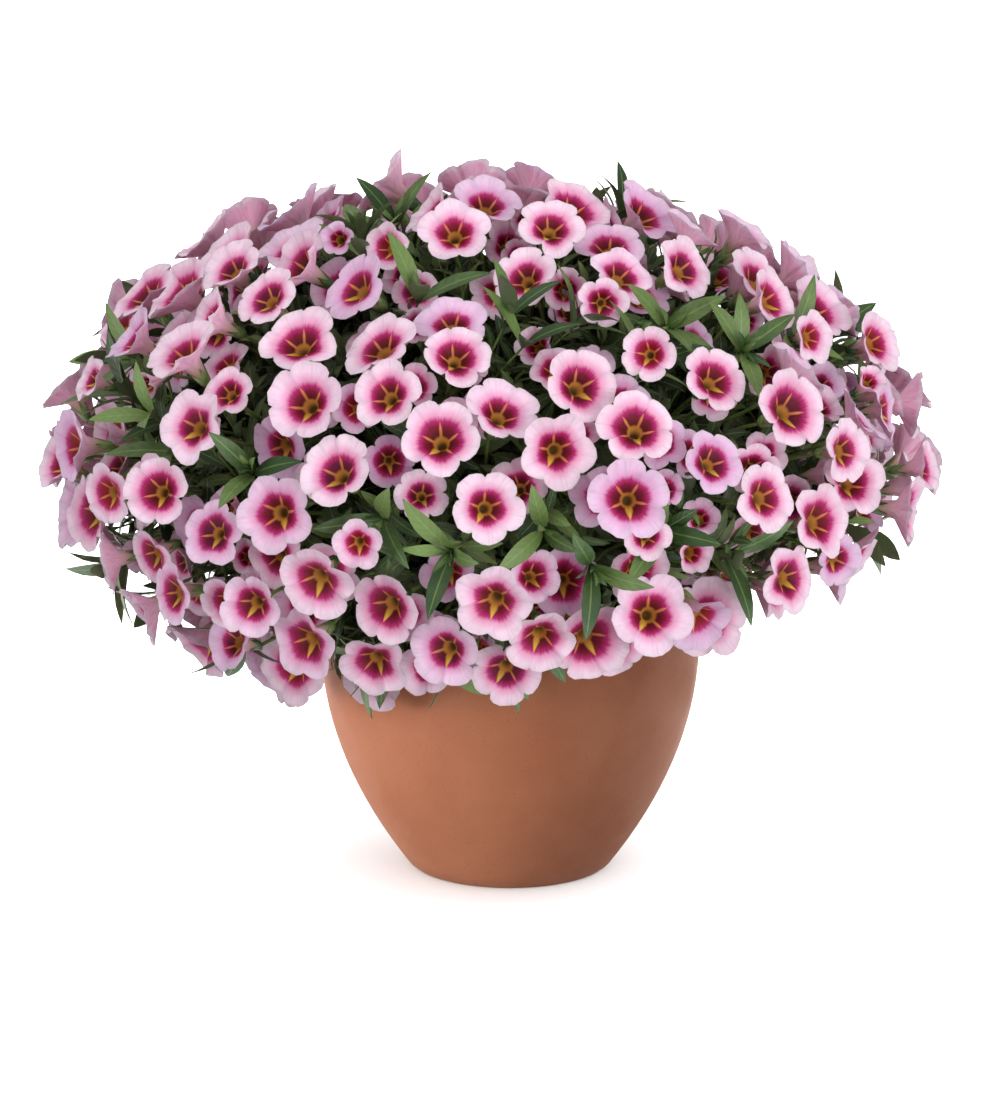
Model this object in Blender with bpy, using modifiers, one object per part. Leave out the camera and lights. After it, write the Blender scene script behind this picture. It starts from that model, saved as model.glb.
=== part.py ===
"""A calibrachoa in a round terracotta pot, in full flower on all sides.

The pot stands on its flat foot with its middle at the origin. +X is to the right and -Y is
towards the viewer. Potting mix fills the pot, and every shoot stands in its own plain hole in it.
Flowering shoots and leafy shoots take turns round the crown. Each one arches out to its share of
a low, round mound that leans a little to the left and hangs over the rim, lowest at the front left.

Places on the mound are given by two angles, as on a globe: tilt from straight up, and turn
round the pot. A shoot's blooms and leaves are fused to it, and stay clear of every other shoot.
"""

import math

import bmesh
import bpy
import numpy as np
from mathutils.bvhtree import BVHTree

MM = 0.001

# Pot: its side is a parabola from the foot up to the belly and on to the rim
POT_HEIGHT = 120 * MM
POT_FOOT_RADIUS = 41.5 * MM
POT_BELLY_RADIUS = 78 * MM
POT_BELLY_HEIGHT = 95 * MM
POT_WALL = 6 * MM
POT_FLOOR = 8 * MM
POT_EDGE = 1.6 * MM
POT_SIDES = 32
DRAIN_RADIUS = 5 * MM
DRAIN_CIRCLE = 22 * MM
DRAINS = 3
DRAIN_SIDES = 8

# Potting mix
SOIL_TOP = 106 * MM
SOIL_SIDES = 16
SEAT_GAP = 0.3 * MM
HOLE_DEPTH = 16 * MM
HOLE_RADIUS = 2.6 * MM
HOLE_SIDES = 4

# Mound: half a flat globe above its widest level, and a shallower half below
MOUND_LEAN = -9 * MM
MOUND_LEVEL = 166 * MM
MOUND_RADIUS = 177 * MM
MOUND_RISE = 116 * MM
MOUND_DROP = 74 * MM
LOW_SIDE = math.radians(205)
LOW_SIDE_MORE = 11 * MM
SHORT_SIDE = math.radians(325)
SHORT_SIDE_LESS = 20 * MM
SHOULDER = 0.035
SKIRT_TILT = math.radians(150)

# Shoots: even ones flower, odd ones carry leaves
SHOOTS = 50
FOOT_CIRCLE = 50 * MM
SHOOT_RADIUS = 1.6 * MM
SHOOT_TIP_RADIUS = 1.3 * MM
SHOOT_SIDES = 3
SHOOT_BENDS = 3
FLOWER_REACH = 0.58
LEAF_REACH = 0.70
SKIRT_REACH = 0.24
JOINT_STEP = 3.6 * MM

# Growing points on the mound's surface: most end in a bloom, the others in a tuft of leaves
GROWING_POINTS = 280
TUFT_SHARE = 0.262
SEED = 7
TRIES = 40
CLEARANCE = 0.35 * MM
SHORT_EDGE = 0.15 * MM

# Bloom: five wide lobes round a funnel
LOBES = 5
LOBE_RADIUS = 16.2 * MM
NOTCH_RADIUS = 12.9 * MM
THROAT_RADIUS = 3.4 * MM
THROAT_DEPTH = 4.2 * MM
FUNNEL_DEPTH = 10 * MM
TUBE_LENGTH = 17 * MM
TUBE_RADIUS = 1.6 * MM
STALK_RADIUS = 0.75 * MM
LOBE_CURL = 1.2 * MM

# Leaf
LEAF_LENGTH = 29 * MM
LEAF_WIDTH = 11 * MM
LEAF_RIB = 1.3 * MM
LEAF_OUTLINE = [(0.55, 1.0)]
LEAF_FOLD = 0.9 * MM
LEAF_ARCH = 2.2 * MM
TUFT_DEPTH = 0.90
TUFT_LEAVES = 3
TWIG_RADIUS = 0.95 * MM

GOLDEN_TURN = math.pi * (3 - math.sqrt(5))
PLASTIC_STEP = 1 / 1.3247179572
UP = np.array([0.0, 0.0, 1.0])


def draw(*key):
    """A random generator of its own for each thing that grows, so that no draw depends on another."""
    return np.random.default_rng([SEED, *key])


def unit(vector):
    return vector / np.linalg.norm(vector)


def across(direction, hint):
    """The part of hint that is square to direction, at unit length."""
    return unit(hint - np.dot(hint, direction) * direction)


# The mound


def mound_height(tilt, turn):
    """The mound's half height at this tilt: a fixed rise above its widest level, and below it a drop
    that is deepest on the low side and shallow on the short side."""
    short = max(math.cos(turn - SHORT_SIDE), 0) ** 3
    drop = MOUND_DROP + LOW_SIDE_MORE * math.cos(turn - LOW_SIDE) - SHORT_SIDE_LESS * short
    return MOUND_RISE if math.cos(tilt) > 0 else drop


def mound_point(tilt, turn, share=1.0):
    """The point at this share of the way from the mound's middle to its surface, which swells out at
    its left and right shoulders and sinks in between them."""
    swell = share * (1 + SHOULDER * math.cos(2 * turn) * max(math.sin(2 * tilt), 0))
    out = MOUND_RADIUS * math.sin(tilt)
    return np.array([
        MOUND_LEAN + swell * out * math.cos(turn),
        swell * out * math.sin(turn),
        MOUND_LEVEL + swell * mound_height(tilt, turn) * math.cos(tilt),
    ])


def mound_normal(tilt, turn):
    out = math.sin(tilt) / MOUND_RADIUS
    up = math.cos(tilt) / mound_height(tilt, turn)
    return unit(np.array([out * math.cos(turn), out * math.sin(turn), up]))


def even_spread(count):
    """Tilts and turns of points evenly spread over the mound's surface, along a golden spiral. Each
    holds the same area of the round surface from the top to the skirt's hem."""
    tilts = np.linspace(0, SKIRT_TILT, 400)
    rise = np.where(np.cos(tilts) > 0, MOUND_RISE, MOUND_DROP)
    slant = np.hypot(MOUND_RADIUS * np.cos(tilts), rise * np.sin(tilts))
    area = np.cumsum(np.sin(tilts) * slant)
    shares = (np.arange(count) + 0.5) / count
    return np.interp(shares, area / area[-1], tilts), np.arange(count) * GOLDEN_TURN


# Shapes that are fused to a shoot, each as (points, faces): lofts between unlike sections


def bridge(first, count_a, second, count_b):
    """Triangles between two unlike rings, which start at points first and second."""
    faces = []
    i = j = 0
    while i < count_a or j < count_b:
        a, b = first + i % count_a, second + j % count_b
        if j >= count_b or (i < count_a and (i + 1) * count_b <= (j + 1) * count_a):
            faces.append((a, first + (i + 1) % count_a, b))
            i += 1
        else:
            faces.append((a, second + (j + 1) % count_b, b))
            j += 1
    return faces


def ring(centre, u, v, radii, lift=0.0):
    """Points round centre in the plane of u and v, at these radii, lifted along their cross."""
    angles = np.arange(len(radii)) * 2 * math.pi / len(radii)
    spokes = np.outer(np.cos(angles), u) + np.outer(np.sin(angles), v)
    lifts = np.broadcast_to(lift, len(radii))
    return centre + spokes * np.asarray(radii)[:, None] + np.outer(lifts, np.cross(u, v))


def bloom_shape(pose, joint, margin=0.0):
    """A funnel whose mouth has five lobes, and its stalk down to joint on the shoot's middle line."""
    centre, facing, size = pose["centre"], pose["facing"], pose["size"]
    u = pose["side"]
    v = np.cross(facing, u)
    rim = [LOBE_RADIUS, NOTCH_RADIUS] * LOBES
    curl = [-LOBE_CURL, 0.0] * LOBES
    tube_end = centre - facing * (TUBE_LENGTH * size + margin)
    stalk = unit(joint - tube_end)
    stalk_u = across(stalk, u)
    stalk_v = np.cross(stalk, stalk_u)
    stalk_v = stalk_v * math.copysign(1, np.dot(stalk_v, v))
    points = np.vstack([
        centre - facing * (FUNNEL_DEPTH * size - 2 * margin),
        ring(centre, u, v, [THROAT_RADIUS * size] * LOBES, -THROAT_DEPTH * size + margin),
        ring(centre, u, v, np.array(rim) * size + margin, np.array(curl) * size + margin),
        ring(tube_end, u, v, [TUBE_RADIUS * size + margin] * 3),
        ring(joint, stalk_u, stalk_v, [STALK_RADIUS + margin] * 3),
    ])
    throat, mouth, end, foot = 1, 1 + LOBES, 1 + 3 * LOBES, 4 + 3 * LOBES
    faces = [(0, throat + k, throat + (k + 1) % LOBES) for k in range(LOBES)]
    faces += bridge(throat, LOBES, mouth, 2 * LOBES)
    faces += bridge(mouth, 2 * LOBES, end, 3)
    faces += bridge(end, 3, foot, 3)
    faces += [(foot, foot + 2, foot + 1)]
    return points, faces


def tuft_shape(pose, joint, margin=0.0):
    """A three-sided twig from joint on the shoot's middle line, which opens into one pointed leaf over
    each of its sides. A blade is arched along its length, folded up along its rib and thickest there."""
    centre, along, leaves = pose["centre"], pose["along"], TUFT_LEAVES
    turns = (np.arange(leaves) - 0.5) * 2 * math.pi / leaves
    u, v = pose["side"], np.cross(along, pose["side"])
    twig = unit(centre - joint)
    twig_u = across(twig, u)
    twig_v = np.cross(twig, twig_u)
    points = [centre + along * (LEAF_RIB / 2 + margin)]
    for middle, first, second in ((centre, u, v), (joint, twig_u, twig_v)):
        spokes = [first * math.cos(t) + second * math.sin(t) for t in turns]
        points += [middle + spoke * (TWIG_RADIUS + margin) for spoke in spokes]
    faces = [tuple(range(2 * leaves, leaves, -1))]
    for leaf in range(leaves):
        left, right = 1 + leaf, 1 + (leaf + 1) % leaves
        faces += [(leaves + left, leaves + right, right, left)]
        direction, above = pose["directions"][leaf], pose["aboves"][leaf]
        side = np.cross(above, direction)
        length, half = pose["lengths"][leaf] + margin, pose["widths"][leaf] / 2 + margin
        start = len(points)
        for x, y in [(px, -py) for px, py in LEAF_OUTLINE] + [(1, 0)] + LEAF_OUTLINE[::-1]:
            rise = LEAF_FOLD * abs(y) + LEAF_ARCH * (1 - (2 * x - 1) ** 2)
            points.append(centre + direction * length * x + side * half * y + above * rise)
        middle = centre + direction * length * 0.5 + above * LEAF_ARCH
        thick = above * (LEAF_RIB / 2 + margin)
        points += [middle + thick, middle - thick]
        edge = [left, *range(start, len(points) - 2), right]
        top, under = len(points) - 2, len(points) - 1
        faces += [(a, b, top) for a, b in zip(edge, edge[1:])] + [(right, 0, top), (0, left, top)]
        faces += [(b, a, under) for a, b in zip(edge, edge[1:])] + [(left, right, under)]
    return np.array(points), faces


# Where things grow


def shoot_route(number):
    """A shoot's middle line: straight up out of the soil, then a curve to its share of the mound.
    Shoots on the skirt rise over the rim before they turn down."""
    tilt, turn = SHOOT_TILTS[number], SHOOT_TURNS[number]
    away = np.array([math.cos(turn), math.sin(turn), 0.0])
    foot = away * FOOT_CIRCLE * math.sqrt((number + 0.5) / SHOOTS)
    low = tilt / SKIRT_TILT
    reach = (FLOWER_REACH if number % 2 == 0 else LEAF_REACH) + SKIRT_REACH * low**3
    hub = mound_point(tilt, turn, reach)
    start = foot + UP * (SOIL_TOP + 0.002)
    first = start + UP * (0.022 + 0.043 * low) + away * 0.012 * low
    last = hub - mound_normal(tilt, turn) * (0.018 + 0.026 * low)
    points = [foot + UP * (SOIL_TOP - HOLE_DEPTH + SEAT_GAP)]
    for s in np.linspace(0, 1, SHOOT_BENDS + 1):
        r = 1 - s
        points.append(r**3 * start + 3 * r * r * s * first + 3 * r * s * s * last + s**3 * hub)
    return np.array(points)


def joint_on(route, back):
    """The point on a shoot's middle line this far back from its end."""
    for low, high in zip(route[-2::-1], route[:0:-1]):
        step = np.linalg.norm(high - low)
        if back <= step:
            return high + (low - high) * back / step
        back -= step
    return route[1]


def share_out(first):
    """Gives each growing point of one kind, blooms (first 0) or tufts (first 1), its shoot, and how far
    back from the shoot's end it joins. It goes to the nearest end that isn't full yet, and those
    furthest off join furthest back. Every shoot gets two before any gets more."""
    shoots = range(first, SHOOTS, 2)
    numbers = np.flatnonzero(IS_TUFT == bool(first))
    places = {n: mound_point(POINT_TILTS[n], POINT_TURNS[n]) for n in numbers}
    apart = sorted(
        (np.linalg.norm(ROUTES[shoot][-1] - places[n]), n, shoot)
        for n in numbers
        for shoot in shoots
    )
    most = math.ceil(len(numbers) / len(shoots)) + 1
    held = dict.fromkeys(shoots, 0)
    joints = {}
    for limit in (2, most):
        for _, number, shoot in apart:
            if number not in joints and held[shoot] < limit:
                joints[number] = (shoot, JOINT_STEP * (held[shoot] + 0.3))
                held[shoot] += 1
    return joints


def growing_point(number, attempt):
    """A growing point's tilt, turn and share of the mound, drawn again for each attempt."""
    random = draw(number, attempt)
    loose = (5 + 0.22 * attempt) * MM
    tilt = POINT_TILTS[number] + random.normal() * loose / MOUND_RADIUS
    turn = POINT_TURNS[number] + random.normal() * loose / (MOUND_RADIUS * max(math.sin(tilt), 0.15))
    share = 1.0 + random.uniform(-0.055, 0.03)
    return min(max(tilt, 0.02), SKIRT_TILT), turn, share, random


def bloom_pose(number, attempt):
    """A bloom faces out and up, less than the mound's surface does near the top, and never far down."""
    tilt, turn, share, random = growing_point(number, attempt)
    normal = mound_normal(tilt, turn)
    rise = 0.14 + (0.62 if normal[2] > 0 else 0.36) * normal[2]
    away = np.array([math.cos(turn), math.sin(turn), 0.0])
    facing = away * math.sqrt(1 - rise * rise) + UP * rise
    facing = unit(facing + random.normal(size=3) * 0.20)
    size = random.uniform(0.86, 1.12) * (1 - 0.006 * attempt)
    return {
        "centre": mound_point(tilt, turn, share),
        "facing": facing,
        "side": across(facing, random.normal(size=3)),
        "size": size,
    }


def tuft_pose(number, attempt, joint):
    """A tuft's leaves stand round the twig's end, evenly turned, and lean out from it."""
    tilt, turn, share, random = growing_point(number, attempt)
    centre = mound_point(tilt, turn, share * TUFT_DEPTH)
    along = unit(unit(centre - joint) + mound_normal(tilt, turn))
    side = across(along, random.normal(size=3))
    other = np.cross(along, side)
    leans = np.radians(random.uniform(35, 65, TUFT_LEAVES))
    turns = np.arange(TUFT_LEAVES) * 2 * math.pi / TUFT_LEAVES
    turns = turns + random.uniform(-0.25, 0.25, TUFT_LEAVES)
    outs = np.outer(np.cos(turns), side) + np.outer(np.sin(turns), other)
    directions = np.outer(np.cos(leans), along) + outs * np.sin(leans)[:, None]
    aboves = np.outer(np.sin(leans), along) - outs * np.cos(leans)[:, None]
    scales = random.uniform(0.85, 1.15, TUFT_LEAVES)
    return {
        "centre": centre,
        "along": along,
        "side": side,
        "directions": directions,
        "aboves": aboves,
        "lengths": LEAF_LENGTH * scales,
        "widths": LEAF_WIDTH * scales,
    }


class Plan:
    """Every piece placed so far, for keeping the pieces of different shoots clear of each other."""

    def __init__(self):
        self.nodes, self.trees, self.centres, self.reaches = [], [], [], []
        self.shapes = {}

    def add(self, node, points, faces, fused=True):
        middle = points.mean(axis=0)
        self.nodes.append(node)
        self.trees.append(BVHTree.FromPolygons(points.tolist(), faces))
        self.centres.append(middle)
        self.reaches.append(np.linalg.norm(points - middle, axis=1).max())
        if fused:
            self.shapes.setdefault(node, []).append((points, faces))

    def crossed(self, points, faces, node=None):
        """Whether this shape crosses a piece of any other node."""
        if not self.nodes:
            return False
        middle = points.mean(axis=0)
        reach = np.linalg.norm(points - middle, axis=1).max()
        apart = np.linalg.norm(np.array(self.centres) - middle, axis=1)
        tree = BVHTree.FromPolygons(points.tolist(), faces)
        return any(
            self.nodes[k] != node and tree.overlap(self.trees[k])
            for k in np.flatnonzero(apart < reach + np.array(self.reaches))
        )


def grow_blooms(plan):
    """Places each bloom at its first attempt that crosses nothing of another shoot and no other
    bloom's head."""
    heads = Plan()
    left_out = []
    for number, (shoot, back) in share_out(0).items():
        joint = joint_on(ROUTES[shoot], back)
        for attempt in range(TRIES):
            pose = bloom_pose(number, attempt)
            end = pose["centre"] - pose["facing"] * TUBE_LENGTH * pose["size"]
            head = bloom_shape(pose, end - pose["facing"] * MM, CLEARANCE)
            bent_back = np.dot(unit(end - joint), pose["facing"]) < 0.05
            if bent_back or heads.crossed(*head):
                continue
            if not plan.crossed(*bloom_shape(pose, joint, CLEARANCE), shoot_name(shoot)):
                plan.add(shoot_name(shoot), *bloom_shape(pose, joint))
                heads.add(number, *bloom_shape(pose, end - pose["facing"] * MM))
                break
        else:
            left_out.append(number)
    print("blooms", (~IS_TUFT).sum(), "left out", left_out)


def grow_tufts(plan):
    """Places each tuft at its first attempt that crosses nothing of another shoot."""
    left_out = []
    for number, (shoot, back) in share_out(1).items():
        joint = joint_on(ROUTES[shoot], back)
        for attempt in range(TRIES):
            pose = tuft_pose(number, attempt, joint)
            if not plan.crossed(*tuft_shape(pose, joint, CLEARANCE), shoot_name(shoot)):
                plan.add(shoot_name(shoot), *tuft_shape(pose, joint))
                break
        else:
            left_out.append(number)
    print("tufts", IS_TUFT.sum(), "left out", left_out)


# Blender objects


def clear_scene():
    for obj in list(bpy.data.objects):
        bpy.data.objects.remove(obj)


def collection(name):
    made = bpy.data.collections.new(name)
    bpy.context.scene.collection.children.link(made)
    return made


def material(name, colour, roughness):
    made = bpy.data.materials.new(name)
    made.use_nodes = True
    shader = made.node_tree.nodes["Principled BSDF"]
    shader.inputs["Base Color"].default_value = (*colour, 1)
    shader.inputs["Roughness"].default_value = roughness
    return made


def mesh_object(name, points, faces, into):
    mesh = bpy.data.meshes.new(name)
    mesh.from_pydata([tuple(p) for p in points], [], faces)
    shape = bmesh.new()
    shape.from_mesh(mesh)
    bmesh.ops.recalc_face_normals(shape, faces=shape.faces)
    shape.to_mesh(mesh)
    shape.free()
    made = bpy.data.objects.new(name, mesh)
    into.objects.link(made)
    return made


def turned(name, profile, sides, into, finish):
    """A profile of (radius, height) turned round the Z axis. It runs down its outer side."""
    mesh = bpy.data.meshes.new(name)
    edges = [(k, k + 1) for k in range(len(profile) - 1)]
    mesh.from_pydata([(r, 0, z) for r, z in profile], edges, [])
    made = bpy.data.objects.new(name, mesh)
    into.objects.link(made)
    mesh.materials.append(finish)
    screw = made.modifiers.new("Turn", "SCREW")
    screw.steps = screw.render_steps = sides
    screw.use_merge_vertices = True
    screw.merge_threshold = 0.00002
    return made


def post(name, radius, sides, low, high, x, y, into):
    """An upright cylinder used as a cutter."""
    shape = bmesh.new()
    size = {"radius1": radius, "radius2": radius, "depth": high - low}
    bmesh.ops.create_cone(shape, cap_ends=True, segments=sides, **size)
    mesh = bpy.data.meshes.new(name)
    shape.to_mesh(mesh)
    shape.free()
    made = bpy.data.objects.new(name, mesh)
    made.location = (x, y, (low + high) / 2)
    made.hide_render = True
    made.display_type = "WIRE"
    into.objects.link(made)
    return made


def cut_all(obj, cutters):
    cut = obj.modifiers.new("Holes", "BOOLEAN")
    cut.operation = "DIFFERENCE"
    cut.operand_type = "COLLECTION"
    cut.collection = cutters


def pot_radius(height):
    """Outer radius of the pot's side at this height: a parabola with its widest point at the belly."""
    below = 1 - height / POT_BELLY_HEIGHT
    return POT_BELLY_RADIUS - (POT_BELLY_RADIUS - POT_FOOT_RADIUS) * below**2


def pot_inside():
    """The profile of the pot's inside, from the floor up to the rim."""
    low = POT_FLOOR + 3 * POT_EDGE
    heights = np.linspace(low, POT_HEIGHT - 2 * POT_EDGE, 3)
    corner = (pot_radius(low) - POT_WALL - 3 * POT_EDGE, POT_FLOOR)
    return [corner] + [(pot_radius(z) - POT_WALL, z) for z in heights]


def make_pot(into, finish):
    outer = [(pot_radius(z), z) for z in np.linspace(POT_HEIGHT - 2 * POT_EDGE, 2 * POT_EDGE, 6)]
    rim = pot_radius(POT_HEIGHT)
    lip = [(rim - 0.75 * POT_WALL, POT_HEIGHT), (rim - 0.25 * POT_WALL, POT_HEIGHT)]
    foot = [(POT_FOOT_RADIUS, POT_EDGE / 2), (POT_FOOT_RADIUS - POT_EDGE / 2, 0), (0, 0)]
    profile = [(0, POT_FLOOR), *pot_inside(), *lip, *outer, *foot]
    pot = turned("pot", profile, POT_SIDES, into, finish)
    drains = collection("drain_cutters")
    for k in range(DRAINS):
        turn = 2 * math.pi * (k + 0.25) / DRAINS
        x, y = DRAIN_CIRCLE * math.cos(turn), DRAIN_CIRCLE * math.sin(turn)
        post(f"drain_cutter_{k}", DRAIN_RADIUS, DRAIN_SIDES, -POT_FLOOR, 2 * POT_FLOOR, x, y, drains)
    cut_all(pot, drains)
    return pot


def make_soil(into, finish):
    """The mix follows the pot's inside with a small gap, up to its level top."""
    radii, heights = np.array(pot_inside()).T
    top = SOIL_TOP - 2 * SEAT_GAP
    below = heights < top
    heights = np.append(heights[below], top)
    radii = np.interp(heights, *np.array(pot_inside()).T[::-1]) - SEAT_GAP * 1.3
    side = list(zip(radii, heights + SEAT_GAP))
    top_edge = side[-1][0] - 4 * MM
    profile = [(0, SOIL_TOP), (top_edge, SOIL_TOP), *side[::-1], (0, POT_FLOOR + SEAT_GAP)]
    soil = turned("potting_mix", profile, SOIL_SIDES, into, finish)
    holes = collection("stem_hole_cutters")
    for number, route in enumerate(ROUTES):
        x, y, _ = route[0]
        low = SOIL_TOP - HOLE_DEPTH
        post(f"stem_hole_{number}", HOLE_RADIUS, HOLE_SIDES, low, 2 * SOIL_TOP, x, y, holes)
    cut_all(soil, holes)
    return soil


def shoot_name(number):
    return f"{'flowering' if number % 2 == 0 else 'leafy'}_shoot_{number // 2 + 1:02d}"


def curve_object(name, points, closed):
    """A curve through these points, with straight pieces."""
    curve = bpy.data.curves.new(name, "CURVE")
    curve.dimensions = "3D"
    line = curve.splines.new("POLY")
    line.points.add(len(points) - 1)
    for point, place in zip(line.points, points):
        point.co = (*place, 1)
    line.use_cyclic_u = closed
    holder = bpy.data.objects.new(name, curve)
    bpy.context.scene.collection.objects.link(holder)
    return holder


def stem_mesh(number):
    """The shoot's own stem, a tapering three-sided tube along its route, as a closed mesh."""
    corners = ring(np.zeros(3), *np.eye(3)[:2], [SHOOT_RADIUS] * SHOOT_SIDES)
    section = curve_object("section", corners, True)
    holder = curve_object("stem", ROUTES[number], False)
    holder.data.bevel_mode = "OBJECT"
    holder.data.bevel_object = section
    holder.data.use_fill_caps = True
    line = holder.data.splines[0].points
    for point, radius in zip(line, np.linspace(1, SHOOT_TIP_RADIUS / SHOOT_RADIUS, len(line))):
        point.radius = radius
    graph = bpy.context.evaluated_depsgraph_get()
    mesh = bpy.data.meshes.new_from_object(holder.evaluated_get(graph))
    bpy.data.objects.remove(holder)
    bpy.data.objects.remove(section)
    shape = bmesh.new()
    shape.from_mesh(mesh)
    bmesh.ops.remove_doubles(shape, verts=shape.verts, dist=0.00001)
    bmesh.ops.recalc_face_normals(shape, faces=shape.faces)
    shape.to_mesh(mesh)
    shape.free()
    return mesh


def fill_pockets(shape):
    """Removes the small closed pockets that leaves of one shoot can leave between them."""
    unseen = set(shape.verts)
    islands = []
    while unseen:
        found, edge = set(), [unseen.pop()]
        while edge:
            vert = edge.pop()
            found.add(vert)
            near = {e.other_vert(vert) for e in vert.link_edges} & unseen
            unseen -= near
            edge.extend(near)
        islands.append(found)
    for island in sorted(islands, key=len)[:-1]:
        bmesh.ops.delete(shape, geom=list(island), context="VERTS")


def collapse_short_edges(shape):
    """Collapses the tiny edges where stalks enter a stem, wherever the surface stays closed."""
    bmesh.ops.triangulate(shape, faces=shape.faces)
    for edge in sorted(shape.edges, key=lambda e: e.calc_length()):
        if not edge.is_valid or edge.calc_length() > SHORT_EDGE:
            continue
        near = [{e.other_vert(vert) for e in vert.link_edges} for vert in edge.verts]
        if len(near[0] & near[1]) == 2:
            bmesh.ops.collapse(shape, edges=[edge])


def fuse(obj, shapes):
    """Joins these shapes to the object in one closed body."""
    repeats = collection("repeats")
    for points, faces in shapes:
        mesh_object("repeat", points, faces, repeats)
    union = obj.modifiers.new("Fuse", "BOOLEAN")
    union.operation = "UNION"
    union.operand_type = "COLLECTION"
    union.collection = repeats
    union.solver = "MANIFOLD"
    graph = bpy.context.evaluated_depsgraph_get()
    fused = bpy.data.meshes.new_from_object(obj.evaluated_get(graph))
    shape = bmesh.new()
    shape.from_mesh(fused)
    fill_pockets(shape)
    collapse_short_edges(shape)
    shape.to_mesh(fused)
    shape.free()
    obj.modifiers.clear()
    obj.data = fused
    for repeat in list(repeats.objects):
        bpy.data.objects.remove(repeat)
    bpy.data.collections.remove(repeats)


def world_shape(obj):
    """The object's evaluated mesh as (points, faces), for the plan."""
    evaluated = obj.evaluated_get(bpy.context.evaluated_depsgraph_get())
    mesh = evaluated.to_mesh()
    shape = (np.array([v.co for v in mesh.vertices]), [tuple(p.vertices) for p in mesh.polygons])
    evaluated.to_mesh_clear()
    return shape


def build():
    clear_scene()
    terracotta = material("terracotta", (0.48, 0.18, 0.095), 0.75)
    earth = material("potting_mix", (0.035, 0.022, 0.014), 0.95)
    petal = material("petals", (0.80, 0.36, 0.56), 0.6)
    green = material("foliage", (0.055, 0.11, 0.028), 0.55)
    model = collection("calibrachoa")
    pot = make_pot(model, terracotta)
    soil = make_soil(model, earth)
    plan = Plan()
    bpy.context.view_layer.update()
    plan.add("pot", *world_shape(pot), fused=False)
    plan.add("potting_mix", *world_shape(soil), fused=False)
    shoots = []
    for number in range(SHOOTS):
        name = shoot_name(number)
        mesh = stem_mesh(number)
        shoot = bpy.data.objects.new(name, mesh)
        model.objects.link(shoot)
        shoots.append(shoot)
        points = np.array([v.co for v in mesh.vertices])
        faces = [tuple(p.vertices) for p in mesh.polygons]
        if plan.crossed(points, faces):
            print("crossing stem", name)
        plan.add(name, points, faces, fused=False)
    grow_blooms(plan)
    grow_tufts(plan)
    for number, shoot in enumerate(shoots):
        fuse(shoot, plan.shapes.get(shoot.name, []))
        shoot.data.materials.clear()
        shoot.data.materials.append(petal if number % 2 == 0 else green)


SHOOT_TILTS, SHOOT_TURNS = even_spread(SHOOTS)
ROUTES = [shoot_route(number) for number in range(SHOOTS)]
POINT_TILTS, POINT_TURNS = even_spread(GROWING_POINTS)
IS_TUFT = np.arange(GROWING_POINTS) * PLASTIC_STEP % 1 < TUFT_SHARE
build()
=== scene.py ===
"""The looks of a calibrachoa in full flower in a round terracotta pot.

Lengths are in metres. The pot's middle is at the origin, +X is to the right, -Y is towards the
viewer. Stems, large blooms and the large leaves of tufts stand where the solids have them. Small
blooms, rosettes and leafy sprigs are added between them. Every grown shape is a row of rings:
N shapes, each of R rings with C points, worked out at once.
"""

import functools
import math

import bpy
import numpy as np
from bpy.props import FloatProperty, FloatVectorProperty, IntProperty, PointerProperty
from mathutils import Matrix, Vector


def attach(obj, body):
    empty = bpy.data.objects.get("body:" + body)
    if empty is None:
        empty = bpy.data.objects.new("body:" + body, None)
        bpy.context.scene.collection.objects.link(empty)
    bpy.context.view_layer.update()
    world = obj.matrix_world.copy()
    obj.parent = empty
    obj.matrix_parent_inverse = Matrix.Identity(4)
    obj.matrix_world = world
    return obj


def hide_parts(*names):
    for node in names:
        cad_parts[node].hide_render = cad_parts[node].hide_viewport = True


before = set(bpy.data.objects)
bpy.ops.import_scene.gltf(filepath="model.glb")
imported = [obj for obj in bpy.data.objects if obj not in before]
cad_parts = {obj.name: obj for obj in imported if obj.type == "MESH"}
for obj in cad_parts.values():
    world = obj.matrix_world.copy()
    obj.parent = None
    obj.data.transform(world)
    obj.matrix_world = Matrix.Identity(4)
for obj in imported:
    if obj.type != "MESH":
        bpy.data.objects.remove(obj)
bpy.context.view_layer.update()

bl_info = {
    "name": "Potted calibrachoa",
    "version": (1, 0, 0),
    "blender": (4, 5, 0),
    "location": "View3D > Sidebar > Calibrachoa",
    "description": "Pot, potting mix, shoots, blooms and leaves of a calibrachoa in full flower",
    "category": "Object",
}

MM = 0.001
UP = np.array([0.0, 0.0, 1.0])

# The pot and its filling, as their solids have them
POT_HEIGHT = 120 * MM
POT_FOOT_RADIUS = 41.5 * MM
POT_BELLY_RADIUS = 78 * MM
POT_BELLY_HEIGHT = 95 * MM
POT_WALL = 6 * MM
POT_FLOOR = 8 * MM
POT_EDGE = 1.6 * MM
DRAIN_RADIUS = 5 * MM
DRAIN_CIRCLE = 22 * MM
DRAINS = 3
SOIL_TOP = 106 * MM
SEAT_GAP = 0.3 * MM
HOLE_DEPTH = 16 * MM

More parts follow.
